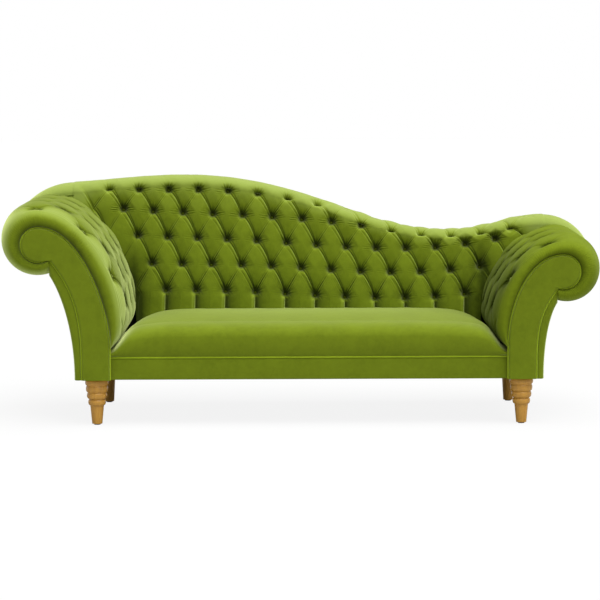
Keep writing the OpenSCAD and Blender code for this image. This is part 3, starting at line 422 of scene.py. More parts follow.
def plain(name, light, dark, roughness, marks, metallic=0.0, bump=0.15):
    """A finish of two tones in a noise, whose height also gives the bump. marks is how many go to a metre on each
    axis."""
    if name in bpy.data.materials:
        return bpy.data.materials[name]
    mat, tree, out, where = new_material(name)
    spread = add(tree, "ShaderNodeMapping", {"Vector": where, "Scale": marks})
    noise = add(tree, "ShaderNodeTexNoise", {"Vector": spread.outputs[0], "Scale": 1.0, "Detail": 5.0,
                                             "Roughness": 0.65})
    mix = add(tree, "ShaderNodeMix", {0: noise.outputs["Fac"], 6: linear(light), 7: linear(dark)}, data_type="RGBA")
    low = add(tree, "ShaderNodeBump", {"Height": noise.outputs["Fac"], "Strength": bump, "Distance": 0.0006})
    body = add(tree, "ShaderNodeBsdfPrincipled", {"Base Color": mix.outputs[2], "Roughness": roughness,
                                                  "Metallic": metallic, "Normal": low.outputs[0]})
    tree.links.new(body.outputs[0], out.inputs["Surface"])
    return mat


def black_cloth():
    """Spun black lining: matt, with threads drawn 2 mm coarse, because real ones are too fine to show."""
    return plain("black_woven_cloth", "#303030", "#1c1c1c", 0.9, (500, 500, 500), bump=0.5)


# ---------------------------------------------------------------- the tufted back

def row_z(g, row, x):
    """Height of a row of buttons, of which row 1 is the lowest and 0 and 6 guide the cloth past the others. Each is
    a curve of the fifth degree in the share of the seat's width, level outside it."""
    u = np.clip((x - g.x_in[0]) / g.seat_w, 0, 1)
    row = np.clip(row, 0, g.rows + 1).astype(int)
    return sum(g.row_lines[k][row] * u ** (5 - k) for k in range(6))


def unrolled(g, x, z):
    """Height on the face, or past the start of the rolled top the height of that start plus the length of the
    quarter ellipse up to the place, so that distances on the cloth stay true."""
    start = crest_z(g, x) - g.edge
    w = np.linspace(0, np.pi / 2, 60)
    path = run(np.stack([g.crest_t / 2 * (1 - np.cos(w)), g.edge * np.sin(w)], -1))
    share = (z - start) / g.edge
    return np.where(share <= 0, z, start + np.interp(share, np.sin(w), path) + np.maximum(share - 1, 0) * g.edge)


def row_at(g, x, along):
    """The row number at a distance up the cloth: the sum over the rows of the part of each gap that lies below it."""
    total = 0
    for k in range(g.rows + 1):
        low, high = unrolled(g, x, row_z(g, k, x)), unrolled(g, x, row_z(g, k + 1, x))
        total = total + np.clip((along - low) / (high - low), 0, 1)
    return total


def leaning(z):
    """How far a place on the back is shifted along: columns lean by 24 mm to a metre, from 600 mm above the floor."""
    return 0.024 * (z - 0.60)


def buttoned(g, i, j):
    """Whether the back has a button at column i of row j: below the crest, and none behind the arms."""
    x = g.lattice_x + g.half_w * i
    there = (j >= 0) & (j < g.rows) & (i >= 2 - j - 4 * (j > 3)) & (i <= g.lattice_n - 1 + j)
    return there & (row_z(g, j + 1, x) <= crest_z(g, x) - 0.004)


def dimple(dx, dz):
    """Share of a button's depth: 1 / (1 + (distance / 13.5 mm)^2.7). The cloth is tucked over each button from above
    and from the right, so the hollow reaches further on these sides and is steep on the other two."""
    far = np.hypot(dx * np.where(dx > 0, 0.80, 1.12), np.where(dz > 0, dz * 0.86, dz * 1.30))
    return 1 / (1 + (far / 0.0135) ** 2.7)


def shaded(dx, dz):
    """Painted shade beside a button: exp(-distance / 12 mm) from its rim at 8 mm, most at 50 degrees up to
    the right. On the opposite side a ring 15 mm out gets painted light."""
    r, w = np.hypot(dx, dz), np.arctan2(dz, dx)
    side = (0.5 + 0.5 * np.cos(w - np.radians(50))) ** 1.3
    return np.exp(-np.maximum(r - 0.008, 0) / 0.012) * side - 0.8 * groove(r - 0.015, 0.006) * (1 - side) ** 3


def groove(v, width):
    """A crease across v: exp(-(v / width)^2)."""
    return np.exp(-(v / width) ** 2)


def folds(p, q, step_p, step_q, arch=0.062):
    """Depth under the crowns of the diamonds between buttons as a share, depth of the folds in metres, and the painted
    shade along them, with painted light on their lips. u and w number the two families of diagonals. Down to the
    right the cloth of the diamond below laps over the one above: its depth drops within 3 mm and comes back as
    exp(-distance / 8 mm), along an arch that leaves the upper button sideways, with two finer pleats that meet it at
    the lower button. Down to the left there is only a thin crease, sharper near the lower button. Crowns round off
    as exp(-(distance / 15 mm)^1.3)."""
    u, w = (p + q) / 2, (q - p) / 2
    size = 2 / np.hypot(1 / step_p, 1 / step_q)
    down = np.ceil(w) - w
    a, b = np.floor(u + 0.5), np.ceil(w)
    vary, other = hashed(a, b, 1.0), hashed(a, b, 5.0)
    # The folds down to the right, at the distance v from the arch
    bent = u - arch * (0.7 + 0.6 * vary) * np.sin(np.pi * down ** 0.8)
    off = bent - np.round(bent)
    v = off * size
    along = np.sin(np.pi * np.clip(down, 0, 1)) ** 0.45
    lap = (0.0038 + 0.0026 * vary) * smooth(v, -0.0016, 0.0016) * np.exp(-np.maximum(v, 0) / 0.008)
    lip = -0.0016 * groove(v + 0.0036, 0.0028)
    spread = 1.05 - 0.85 * down
    second, third = v - 0.0035 - 0.0075 * spread, v + 0.0045 + 0.0095 * spread
    fine = 0.0036 * groove(second, 0.0017) + 0.0030 * groove(third, 0.0017) * (other > 0.35)
    fine = fine * (0.35 + 0.65 * smooth(np.abs(down - 0.5), 0.02, 0.35))
    line = groove(v - 0.0018, 0.0022) - 0.35 * groove(v + 0.0032, 0.0022)
    line = line + (0.9 * groove(second, 0.0018) - 0.3 * groove(second + 0.0036, 0.0017)) * (0.3 + 0.7 * down)
    line = line + (0.8 * groove(third, 0.0018) - 0.3 * groove(third + 0.0036, 0.0017)) * (other > 0.35) * down
    # The creases down to the left, at the distance v_left
    off_left = w - np.round(w)
    v_left = off_left * size
    d, d_left = np.abs(v), np.abs(v_left)
    fall = np.ceil(u) - u
    late = (0.3 + 0.7 * smooth(fall, 0.25, 0.85)) * (0.45 + 0.55 * other)
    thin = (0.0034 * np.exp(-d_left / 0.0022) + 0.0016 * groove(d_left - 0.0060, 0.0015)) * late
    line_left = 1.2 * groove(v_left, 0.0016) + 0.5 * groove(d_left - 0.0064, 0.0014)
    line_left = (line_left - 0.4 * groove(d_left - 0.0036, 0.0014)) * late
    crown = 0.42 * np.exp(-(d / 0.015) ** 1.3) + 0.30 * np.exp(-(d_left / 0.015) ** 1.3) \
        + 0.28 * (1 - (np.cos(np.pi * (off + 0.5)) * np.cos(np.pi * (off_left + 0.5))) ** 2)
    return crown, (lap + lip + fine) * along + thin, line * along + line_left


def nearest(p, q):
    """Column and row of the button nearest to a lattice place, and how much the place is its own: 1, and less from
    three quarters of the way to the line halfway between buttons, where it is 0."""
    a, b = np.round((p + q) / 2), np.round((q - p) / 2)
    off = np.maximum(np.abs((p + q) / 2 - a), np.abs((q - p) / 2 - b))
    return a - b, a + b, 1 - smooth(off, 0.36, 0.5)


def fan(dx, dz, phase):
    """Pleats that fan out above a button, as a share: cos of 13 times the angle and half a cos of 21 times, most at
    20 mm from it and none below."""
    r, w = np.hypot(dx, dz), np.arctan2(dz, dx)
    rays = np.cos(13 * w + 6.28 * phase) + 0.5 * np.cos(21 * w - 9 * phase)
    return rays * groove(r - 0.020, 0.012) * smooth(w, -0.4, 0.2) * (1 - smooth(w, 2.2, 2.9))


def pillow_folds(g, p, along):
    """Under the lowest row each pillow of cloth laps over the next in an upright fold: its depth drops within 7 mm
    and comes back as exp(-distance / 22 mm), with one finer pleat beside it. Gives depth, and painted shade beside
    the fold with a strip of painted light on its other side."""
    v = (p / 2 - np.round(p / 2)) * 2 * g.half_w
    back = np.exp(-np.maximum(v, 0) / 0.022)
    depth = 0.015 * smooth(v, -0.0040, 0.0030) * back - 0.0015 * groove(v + 0.005, 0.004)
    pleat = v - 0.010 - 0.12 * np.maximum(along - 0.40, 0)
    return depth + 0.0022 * groove(pleat, 0.0016), smooth(v, -0.001, 0.003) * back - 0.3 * groove(v + 0.009, 0.006)


def crest_glow(past, wide):
    """How much painted light the crest gets at a distance past it: it rises over a little more than wide."""
    return smooth(past / wide, -1.15, 0.1)


def back_depth(g, x, z, cloth=None):
    """Depth of the back's face under its crowns, and its painted shade there, from 1 in a fold to -1 for painted light
    on the crest. cloth is the place's height along the cloth, where it is known. Depth is the sum of crowns, folds,
    level wrinkles and rays, and the buttons' hollows take the place of all of these: each is scaled by 1 - hollow."""
    cloth = unrolled(g, x, z) if cloth is None else cloth
    p = (x - leaning(cloth) - g.lattice_x) / g.half_w
    q = row_at(g, x, cloth) - 1
    crown, crease, line = folds(p, q, g.half_w, g.row_step)
    upright, shade = pillow_folds(g, p, cloth)
    low = smooth(-q, 0.0, 0.25)
    # Fine pleats converge on the buttons of the lowest row from above, along both diagonals
    vee = smooth(q, 0.02, 0.2) * (1 - smooth(q, 0.55, 0.85))
    diagonal = 0.101
    for sign in (-1, 1):
        d = ((p + sign * q) / 2 - np.round((p + sign * q) / 2)) * diagonal
        comb = vee * np.exp(-np.abs(d) / 0.010) * (1 + np.cos(2 * np.pi * d / 0.0075)) / 2
        crease, line = crease + 0.0024 * comb, line + 0.35 * comb
    i, j, own = nearest(p, q)
    x_b = g.lattice_x + g.half_w * i
    z_b = unrolled(g, x_b, row_z(g, j + 1, x_b))
    dx, dz = x - x_b - leaning(z_b), cloth - z_b
    there = buttoned(g, i, j) * own
    hole = dimple(dx, dz) * there
    # Level wrinkles run from button to button, most in the upper rows
    phase = hashed(i, j, 4.0)
    bow = dz - 0.010 * (phase - 0.3) * (np.abs(dx) / g.half_w) ** 2
    level = np.cos(2 * np.pi * bow / 0.0085 + 6.28 * phase) * groove(bow, 0.012) * smooth(np.abs(dx), 0.008, 0.022)
    level = level * (0.3 + 0.7 * smooth(q, 1.6, 2.8)) * (phase > 0.25) * there
    rays = fan(dx, dz, phase) * there
    # Nothing is buttoned over the wings, and folds end at the top row
    outside = smooth(x, g.x_in[0] - 0.17, g.x_in[0] - 0.09) * (1 - smooth(x, g.x_in[1] + 0.09, g.x_in[1] + 0.17))
    above = 1 - 0.9 * smooth(q, 4.0, 4.25)
    crown_h, pillow_h = 0.010, 0.006
    flat = crown_h * crown * (1 - low) + pillow_h * low * (1 - np.abs(np.sin(np.pi * p / 2)) ** 0.8)
    rest = (crease * (1 - low) + upright * low + 0.0015 * level) * (1 - hole)
    depth = ((flat + rest) * above + 0.0016 * rays * (1 - hole) + (g.back_tuft - crown_h) * hole) * outside
    # Painted shade in the button hollows, and in a fan beside each button with painted light on the far side
    dark = 1.15 * hole ** 1.2 + 0.42 * shaded(dx, dz) * there
    # Painted shade along the folds, wrinkles and rays, with painted light on the lips of the folds
    lines = (line * (1 - low) + 0.95 * shade * low + 0.16 * level) * above + (0.18 + 0.2 * (1 - above)) * rays
    dark = dark + lines * (1 - 0.7 * hole)
    # Painted light on the crest, a little less from each row to the next one down, and painted shade over the lowest
    # row
    dark = dark - 0.12 * smooth(q, 2.6, 4.2) + 0.12 * (1 - smooth(q, -0.6, 0.8))
    pale = (0.60 + 0.18 * (1 - outside)) * crest_glow(cloth - crest_z(g, x), 0.066 + 0.09 * (1 - outside))
    # Painted shade in the corners beside the arms, where little light reaches
    beside = np.minimum(np.abs(x - g.lattice_x + 0.01), np.abs(g.x_in[1] - g.bulge + 0.01 - x))
    corner = 0.75 * np.exp(-(beside / 0.045) ** 1.3) * (1 - smooth(z, 0.50, 0.70))
    return np.maximum(depth, -0.001), np.clip(dark * outside + corner - pale, -1, 1)


def foot_z(g, x):
    """Lower end of the back's columns: level between the arms, and rising behind them along a quarter ellipse."""
    low = g.seat_h - g.pad_t
    edge = np.where(x < 0, g.lattice_x, g.x_in[1] - g.bulge)
    wing = np.where(x < 0, g.wing_x[0], g.wing_x[1])
    high = np.where(x < 0, g.wing_z[0] + g.wing_r[0], g.wing_z[1] + g.wing_r[1]) - g.band
    share = np.clip((x - edge) / (wing - edge), 0, 1)
    return low + (high - low) * np.sqrt(1 - (1 - share) ** 2)


def back_columns(g):
    """Foot, direction and length of each column, from the end of the high wing to the end of the low one."""
    ways = (arc((0, 0), 1, g.wing_end[0], 90, 90)[:-1], arc((0, 0), 1, 90, g.wing_end[1], 80)[1:])
    columns = [(np.array([g.wing_x[k], g.wing_z[k]]) + (g.wing_r[k] - g.band) * way, way, np.full(len(way), g.band))
               for k, way in enumerate(ways)]
    x = np.linspace(*g.wing_x, 1060)
    z = foot_z(g, x)
    columns.insert(1, (np.stack([x, z], -1), np.stack([0 * x, 0 * x + 1], -1), crest_z(g, x) - z))
    return [np.concatenate(each) for each in zip(*columns)]


def back_loops(g):
    """Loops of the back pad: up the face, over the rolled top as quarter ellipses, down the rear and under."""
    foot, way, long = back_columns(g)
    foot_x, foot_up, way_x, way_up, long = foot[:, 0:1], foot[:, 1:2], way[:, 0:1], way[:, 1:2], long[:, None]
    rows, over = 240, 20
    w = np.radians(np.linspace(0, 90, over + 1))[None, 1:]
    # Distance up the column and depth, without tufts
    top = long - g.edge
    z_edge, z_drop = foot_up + way_up * top, foot_up + way_up * (long - g.drop)
    y_edge, half = face_y(g, z_edge), g.crest_t / 2
    rear = np.maximum(y_edge + g.crest_t, out_y(g, z_edge) + g.crest_t * 0.12)
    a_face = top * np.linspace(0, 1, rows)[None]
    a = np.concatenate([a_face, top + g.edge * np.sin(w), top + g.edge * np.cos(w),
                        top - (g.drop - g.edge) * np.sin(w)], 1)
    y = np.concatenate([face_y(g, foot_up + way_up * a_face), y_edge + half * (1 - np.cos(w)),
                        y_edge + half + (rear - y_edge - half) * np.sin(w),
                        rear - (rear - out_y(g, z_drop) - 0.005) * (1 - np.cos(w))], 1)
    da, dy = np.gradient(a, axis=1), np.gradient(y, axis=1)
    size = np.hypot(da, dy) + 1e-12
    x, z = foot_x + way_x * a, foot_up + way_up * a
    upright = np.abs(way_x) < 1e-6
    past = np.cumsum(size, axis=1)
    place = np.arange(a.shape[1])
    cloth = np.where(place[None] < rows, z, z_edge + past - past[:, rows - 1:rows])
    depth, crease = back_depth(g, x, z, cloth)
    # Tufts fade out over the second half of the rolled top
    fade = np.ones(a.shape[1])
    fade[rows + over:] = np.concatenate([np.cos(np.radians(np.linspace(0, 90, over))) ** 2, np.zeros(over)])
    depth, crease = depth * fade * upright, crease * fade * upright
    # The wings have only soft waves, and two long pleats that run round them from the last buttons
    turn = np.arctan2(way_up, way_x)
    soft = 0.0022 * waves(turn * 0.9, turn * 0.4, 3.0, 0.055) * np.sin(np.pi * np.clip(a / long, 0, 1)) ** 2
    pleats = sum(0.0045 * groove(a - long * k - 0.006 * np.sin(turn * 2.5), 0.0028) for k in (0.42, 0.60))
    soft = soft + pleats * (np.abs(np.cos(turn)) < 0.985) + 0.0022
    face = place < rows + 2 * over
    depth = depth + np.where(upright, 0, np.maximum(soft, 0) * face)
    # Painted shade in the wings' pleats, and painted light over the tops of the wings
    crease = crease + np.where(upright, 0, 120 * pleats * face - 0.78 * crest_glow(a - long, 0.156) * fade)
    a, y = a + depth * (-dy / size), y + depth * (da / size)
    loops = np.stack([foot_x + way_x * a, y, foot_up + way_up * a], -1)
    # Under the rear edge each loop goes back to the frame and down to the column's foot
    inner = np.concatenate([foot_x + way_x * (long - g.drop), face_y(g, z_drop) + g.pad_t, z_drop], 1)
    under = np.concatenate([foot_x, face_y(g, foot_up) + g.pad_t, foot_up], 1)
    crease = np.concatenate([crease, np.zeros((len(long), 2))], 1)
    return np.concatenate([loops, inner[:, None], under[:, None]], 1), crease


def back_button_places(g):
    """Centre and outward direction of each button of the back, found on the tufted surface."""
    places = []
    for j in range(g.rows):
        for i in range(2 - g.rows, g.lattice_n + g.rows):
            if (i + j) % 2 or not buttoned(g, np.array(i), np.array(j)):
                continue
            x = g.lattice_x + g.half_w * i
            z = float(row_z(g, j + 1, x))
            x = x + leaning(float(unrolled(g, x, z)))
            edge_z = float(crest_z(g, x)) - g.edge
            w = np.arcsin(np.clip((z - edge_z) / g.edge, 0, 1))
            y = face_y(g, min(z, edge_z)) + g.crest_t / 2 * (1 - np.cos(w))
            slope = np.arctan(g.lean)
            normal = np.array([0, -np.cos(w) * np.cos(slope), np.sin(w) + np.sin(slope)])
            normal /= np.linalg.norm(normal)
            depth = float(back_depth(g, np.array(x), np.array(z))[0])
            places.append((np.array([x, y, z]) - normal * (depth + 0.0012), normal))
    return places


# ---------------------------------------------------------------- the arms

def facing_inner(g, s, t):
    """Inner edge of a facing from the top of its straight foot to the top of its head: a cubic curve."""
    top, foot = g.head[s] + [0, g.head_r[s]], np.array([0, g.stem_z])
    return cubic(foot, foot + [0, (top[1] - g.stem_z) * g.rise[s]], top - [g.head[s][0] * 0.63, 0], top, t)


def facing_stem(g, s, n):
    """Outer edge of a facing as n points, from the notch under its head down to its foot: a cubic curve."""
    w = np.radians(g.notch_a[s])
    notch = g.head[s] + g.head_r[s] * np.array([np.cos(w), np.sin(w)])
    foot = np.array([g.stem_w, g.z_frame + (g.stem_z - g.z_frame) * 0.65])
    fall = notch[1] - foot[1]
    return cubic(notch, notch - fall * 0.27 * np.array([0.6, 0.8]), foot + [0, fall * 0.58], foot, np.linspace(0, 1, n))


def facing_outline(g, s):
    """Edge of a facing from its inner foot up, round its head as an arc and down to its outer foot."""
    return np.concatenate([[[0, g.under]], facing_inner(g, s, np.linspace(0, 1, 70)),
                           arc(g.head[s], g.head_r[s], 90, g.notch_a[s], 60)[1:], facing_stem(g, s, 50)[1:],
                           [[g.stem_w, g.under]]])


def outer_curve(g, s, t):
    """Outer side of an arm from the end of its roll down to the frame: a cubic curve."""
    w = np.radians(g.roll_a[s])
    start = g.roll[s] + g.roll_r[s] * np.array([np.cos(w), np.sin(w)])
    foot = np.array([g.stem_w + g.outer_t, g.z_frame])
    fall = start[1] - g.z_frame
    return cubic(start, start - fall * 0.17 * np.array([0.55, 0.84]), foot + [0, fall * 0.51], foot, t)


def arm_lines(g, s, n):
    """The padded surface of an arm and the frame's edge under it, point for point at n even distances."""
    low, side = np.array([-g.bulge * 0.12, g.pad_z]), np.array([-g.bulge, g.bulge_z[s]])
    top = g.roll[s] + [0, g.roll_r[s]]
    rise, fall = top[1] - side[1], side[1] - low[1]
    # Under the swell, up to the top and round the roll, both with 80 points for each
    t = np.linspace(0, 1, 80)
    outer = np.concatenate([cubic(low, low + [-g.bulge * 0.55, fall * 0.23], side - [0, fall * 0.4], side, t)[:-1],
                            cubic(side, side + [0, rise * 0.4], top - [(top[0] - side[0]) * 0.575, 0], top, t)[:-1],
                            arc(g.roll[s], g.roll_r[s], 90, g.roll_a[s], 80)])
    inner = np.concatenate([facing_inner(g, s, t * 0.25)[:-1], facing_inner(g, s, 0.25 + 0.75 * t)[:-1],
                            arc(g.head[s], g.head_r[s], 90, g.notch_a[s], 80)])
    d = run(outer)
    at = np.linspace(0, d[-1], n)
    pick = lambda path: np.stack([np.interp(at, d, path[:, k]) for k in (0, 1)], -1)
    return at, pick(outer), pick(inner)


def arm_depth(g, s, t, y):
    """Depth of an arm's surface under its crowns at a distance along its profile and a depth from its front, and its
    painted shade there, from 1 in a fold to -1 where light is painted. Long pleats 15 mm apart, each
    1 - |sin|^0.45 across, run along the profile in irregular stretches."""
    q, p = (t - g.arm_row0[s]) / g.arm_row + 1, (y - g.arm_col0) / g.arm_col
    crown, crease, line = folds(q, p, g.arm_row, g.arm_col, 0.04)
    among = smooth(q, -0.6, 0.6) * (1 - smooth(q, g.arm_rows[s] + 1.1, g.arm_rows[s] + 2.2))
    behind = smooth(p, -0.45, -0.05)
    i, j, own = nearest(p, q)
    dx, dz = (q - j) * g.arm_row, (p - i) * g.arm_col
    there = (i >= 0) * (j >= 1) * (j <= g.arm_rows[s] + 1) * own
    hole = dimple(dx * 0.62, dz) * there
    rays = fan(dx, dz, hashed(i, j, 2.0)) * there
    # The cloth is drawn together into pleats between the columns
    v = y + 0.007 * waves(t, y, 4.0, 0.10)
    strong = (0.45 + 0.75 * waves(t, y, 2.0 + s, 0.05)) * smooth(y, 0.008, 0.030)
    pleat = 0.0017 * np.maximum(strong, 0) * (1 - np.abs(np.sin(np.pi * v / 0.0150)) ** 0.45)
    # Faint short gathers where the cloth is pulled over the front edge of the head
    over_head = smooth(q, 2.2, 3.6)
    pulled = 0.0005 * np.exp(-(y / 0.016) ** 2) * (np.sin(t * 2 * np.pi / 0.011 + waves(t, y, 4.0, 0.05)) + 1)
    crown_h = 0.007
    rest = (1.3 * crease * behind + pleat + 0.0018 * rays * behind) * (1 - hole)
    depth = (crown_h * crown * behind + rest) * among + (g.arm_tuft - crown_h) * hole * among + pulled * over_head
    # Painted shade in and round the button hollows, along the fold lines and in the pleats
    dark = 2.2 * hole ** 1.2 + 0.30 * np.exp(-np.maximum(np.hypot(dx, dz) - 0.010, 0) / 0.018) * there
    dark = dark + (0.6 * line * behind + 170 * pleat) * (1 - 0.7 * hole)
    # Painted shade over the inner face of each arm, more on the low arm, right from its front
    shade, none, full = ((0.34, 0.05, 0.16), (0.44, 0.0, 0.06))[s]
    shade = shade * smooth(y, none, full) * smooth(q, -1.5, -0.5)
    return np.maximum(depth, 0), np.clip(dark * among + shade * (1 - over_head), -1, 1)


def arm_loops(g, s):
    """Loops of an arm's pad, from its lower edge to the end of the roll. Each goes from the facing's piping out and
    over the rounded front, back along the surface to the back pad, and forward again along the frame."""
    t, outer, inner = arm_lines(g, s, 420)
    room = np.linalg.norm(outer - inner, axis=1)[:, None]
    out = (outer - inner) / room
    # The rounded front, as shares of the way out and depths in millimetres, is 190 mm deep. The rest runs straight back
    front = np.concatenate([cubic((0.0, 13), (0.02, 3), (0.10, -4), (0.27, -4), np.linspace(0, 1, 22))[:-1],
                            cubic((0.27, -4), (0.64, -4), (0.90, 40), (1.0, 190), np.linspace(0, 1, 90))])
    front_d = 0.190
    gap = 2 * g.pipe_r + 2 * g.fit
    end = face_y(g, outer[:, 1:2]) - g.y0 - g.fit
    back = front_d + (end - front_d) * np.linspace(0, 1, 220)[None, 1:]
    y = np.concatenate([np.broadcast_to(front[None, :, 1] * 0.001, (len(t), len(front))), back], 1)
    reach = gap + (room - gap) * np.concatenate([np.broadcast_to(front[None, :, 0], (len(t), len(front))),
                                                 np.ones_like(back)], 1)
    depth, crease = arm_depth(g, s, t[:, None] + 0 * y, y)
    along_y, along_out = np.gradient(y, axis=1), np.gradient(reach, axis=1)
    size = np.hypot(along_y, along_out) + 1e-12
    # Nothing is tufted right beside the piping
    quiet = smooth(np.arange(y.shape[1]), 0, 12)[None]
    depth = depth * quiet
    # Painted shade beside the piping, and painted light round the front edge, most on the high arm
    share = reach / (room + 1e-9)
    away, towards = ((0.52, 0.70), (0.38, 0.05))[s]
    edge = away * (1 - smooth(share, 0.05, 0.42)) \
        - towards * smooth(share, 0.40, 0.85) * (1 - smooth(y, 0.045, 0.120))
    crease = crease * quiet + edge
    at = inner[:, None] + out[:, None] * (reach - depth * along_y / size)[..., None]
    surface = np.stack([at_side(g, s, at[..., 0]), g.y0 + (y + depth * along_out / size), at[..., 1]], -1)
    # The rear end follows the tufts of the back
    sunk = back_depth(g, surface[:, -1, 0], surface[:, -1, 2])[0]
    surface[..., 1] += smooth(y, 0.40, 0.66) * np.minimum(sunk, 0.03)[:, None]
    under = []
    # Forward again 1.8 mm off the frame, and up to the piping behind the facing
    for d, lift in ((end[:, 0], 0.0018), (0.0375, 0.0018), (0.0143, 0.0018), (0.0131, gap)):
        p = inner + out * lift
        under.append(np.stack([at_side(g, s, p[:, 0]), g.y0 + (d + 0 * t), p[:, 1]], -1))
    return np.concatenate([surface, np.stack(under, 1)], 1), np.concatenate([crease, np.zeros((len(t), 4))], 1)


def arm_button_places(g, s):
    """Centre and outward direction of each button of an arm, on the tufted surface. None is near the back."""
    places = []
    t, outer, inner = arm_lines(g, s, 1200)
    sign = -1 if s == LEFT else 1
    for j in range(g.arm_rows[s] + 1):
        at = g.arm_row0[s] + g.arm_row * j
        k = min(int(np.searchsorted(t, at)), len(t) - 10)
        along, out = outer[k + 8] - outer[k - 8], outer[k] - inner[k]
        normal = np.array([-along[1], along[0]]) / np.linalg.norm(along)
        for c in range(7):
            y = g.arm_col0 + g.arm_col * c
            if (j + c) % 2 == 0 or y > face_y(g, outer[k, 1]) - g.y0 - 0.045:
                continue
            depth = float(arm_depth(g, s, np.array(at), np.array(y))[0])
            p = outer[k] - out / np.linalg.norm(out) * depth + normal * 0.0006
            places.append((np.array([at_side(g, s, p[0]), g.y0 + y, p[1]]), np.array([sign * normal[0], 0, normal[1]])))
    return places


def button_shape(r):
    """A covered button: a low dome r cos w out and 0.62 r sin w high, with folds gathered round its rim."""
    rings, spokes = 6, 24
    w = np.linspace(0, np.pi / 2, rings + 1)[:-1, None]
    a = np.linspace(0, 2 * np.pi, spokes, endpoint=False)[None]
    pleat = 1 - 0.035 * np.cos(8 * a) * np.cos(w) ** 2
    v = np.stack([r * np.cos(w) * np.cos(a) * pleat, r * np.cos(w) * np.sin(a) * pleat,
                  0.62 * r * np.sin(w) + 0 * a], -1).reshape(-1, 3)
    v = np.concatenate([v, [[0, 0, 0.62 * r]]])
    faces = [(i * spokes + j, i * spokes + (j + 1) % spokes, (i + 1) * spokes + (j + 1) % spokes, (i + 1) * spokes + j)
             for i in range(rings - 1) for j in range(spokes)]
    last = (rings - 1) * spokes
    faces += [(last + j, last + (j + 1) % spokes, rings * spokes) for j in range(spokes)]
    faces += [tuple(range(spokes))[::-1]]
    return v, faces


def placed(centre, normal):
    """Matrix that stands a shape at centre with its Z axis along normal."""
    z = normal / np.linalg.norm(normal)
    x = np.cross([0, 1, 0] if abs(z[1]) < 0.9 else [1, 0, 0], z)
    x /= np.linalg.norm(x)
    m = np.eye(4)
    m[:3, 0], m[:3, 1], m[:3, 2], m[:3, 3] = x, np.cross(z, x), z, centre
    return m


# ---------------------------------------------------------------- facings, seat, outsides and dust cover

def facing_loops(g, s):
    """Loops of a facing, one for each rung from its inner edge to its outer one, from the foot up and round the head
    to its top. The velvet is pulled over the edge: it rises 3 mm there, as exp(-distance / 2.8 mm)."""
    rungs, behind = 220, 0.0138
    inner = even(np.concatenate([[[0, g.under]], facing_inner(g, s, np.linspace(0, 1, 150))]), rungs)
    outer = even(np.concatenate([[[g.stem_w, g.under]], facing_stem(g, s, 80)[::-1],
                                 arc(g.head[s], g.head_r[s], g.notch_a[s], 90, 120)[1:]]), rungs)
    across = (1 - np.cos(np.linspace(0, np.pi, 40)))[None, :, None] / 2
    rung = inner[:, None] + (outer - inner)[:, None] * across
    wide = np.linalg.norm(outer - inner, axis=1)[:, None]
    edge = np.minimum(across[..., 0], 1 - across[..., 0]) * wide
    bulge = 0.0030 * np.exp(-edge / 0.0028) - 0.0004 * (1 - np.exp(-edge / 0.02))
    bulge = bulge + 0.0003 * waves(rung[..., 0], rung[..., 1], 3.0 + s, 0.05) * (1 - np.exp(-edge / 0.01))
    front = np.stack([at_side(g, s, rung[..., 0]), g.y0 + bulge, rung[..., 1]], -1)
    back = front[:, ::-1] * [1, 0, 1] + [0, g.y0 + behind, 0]
    return np.concatenate([front, back[:, [0, -1]]], 1)


def piping_loops(g, s):
    """Loops of the covered cord that runs round a facing, just in front of the boards."""
    n = 400
    path = sideways(even(facing_outline(g, s), n), g.pipe_r + g.fit)
    path = np.stack([at_side(g, s, path[:, 0]), np.full(n, g.y_board - g.pipe_r - g.fit), path[:, 1]], -1)
    return tube(path, g.pipe_r)


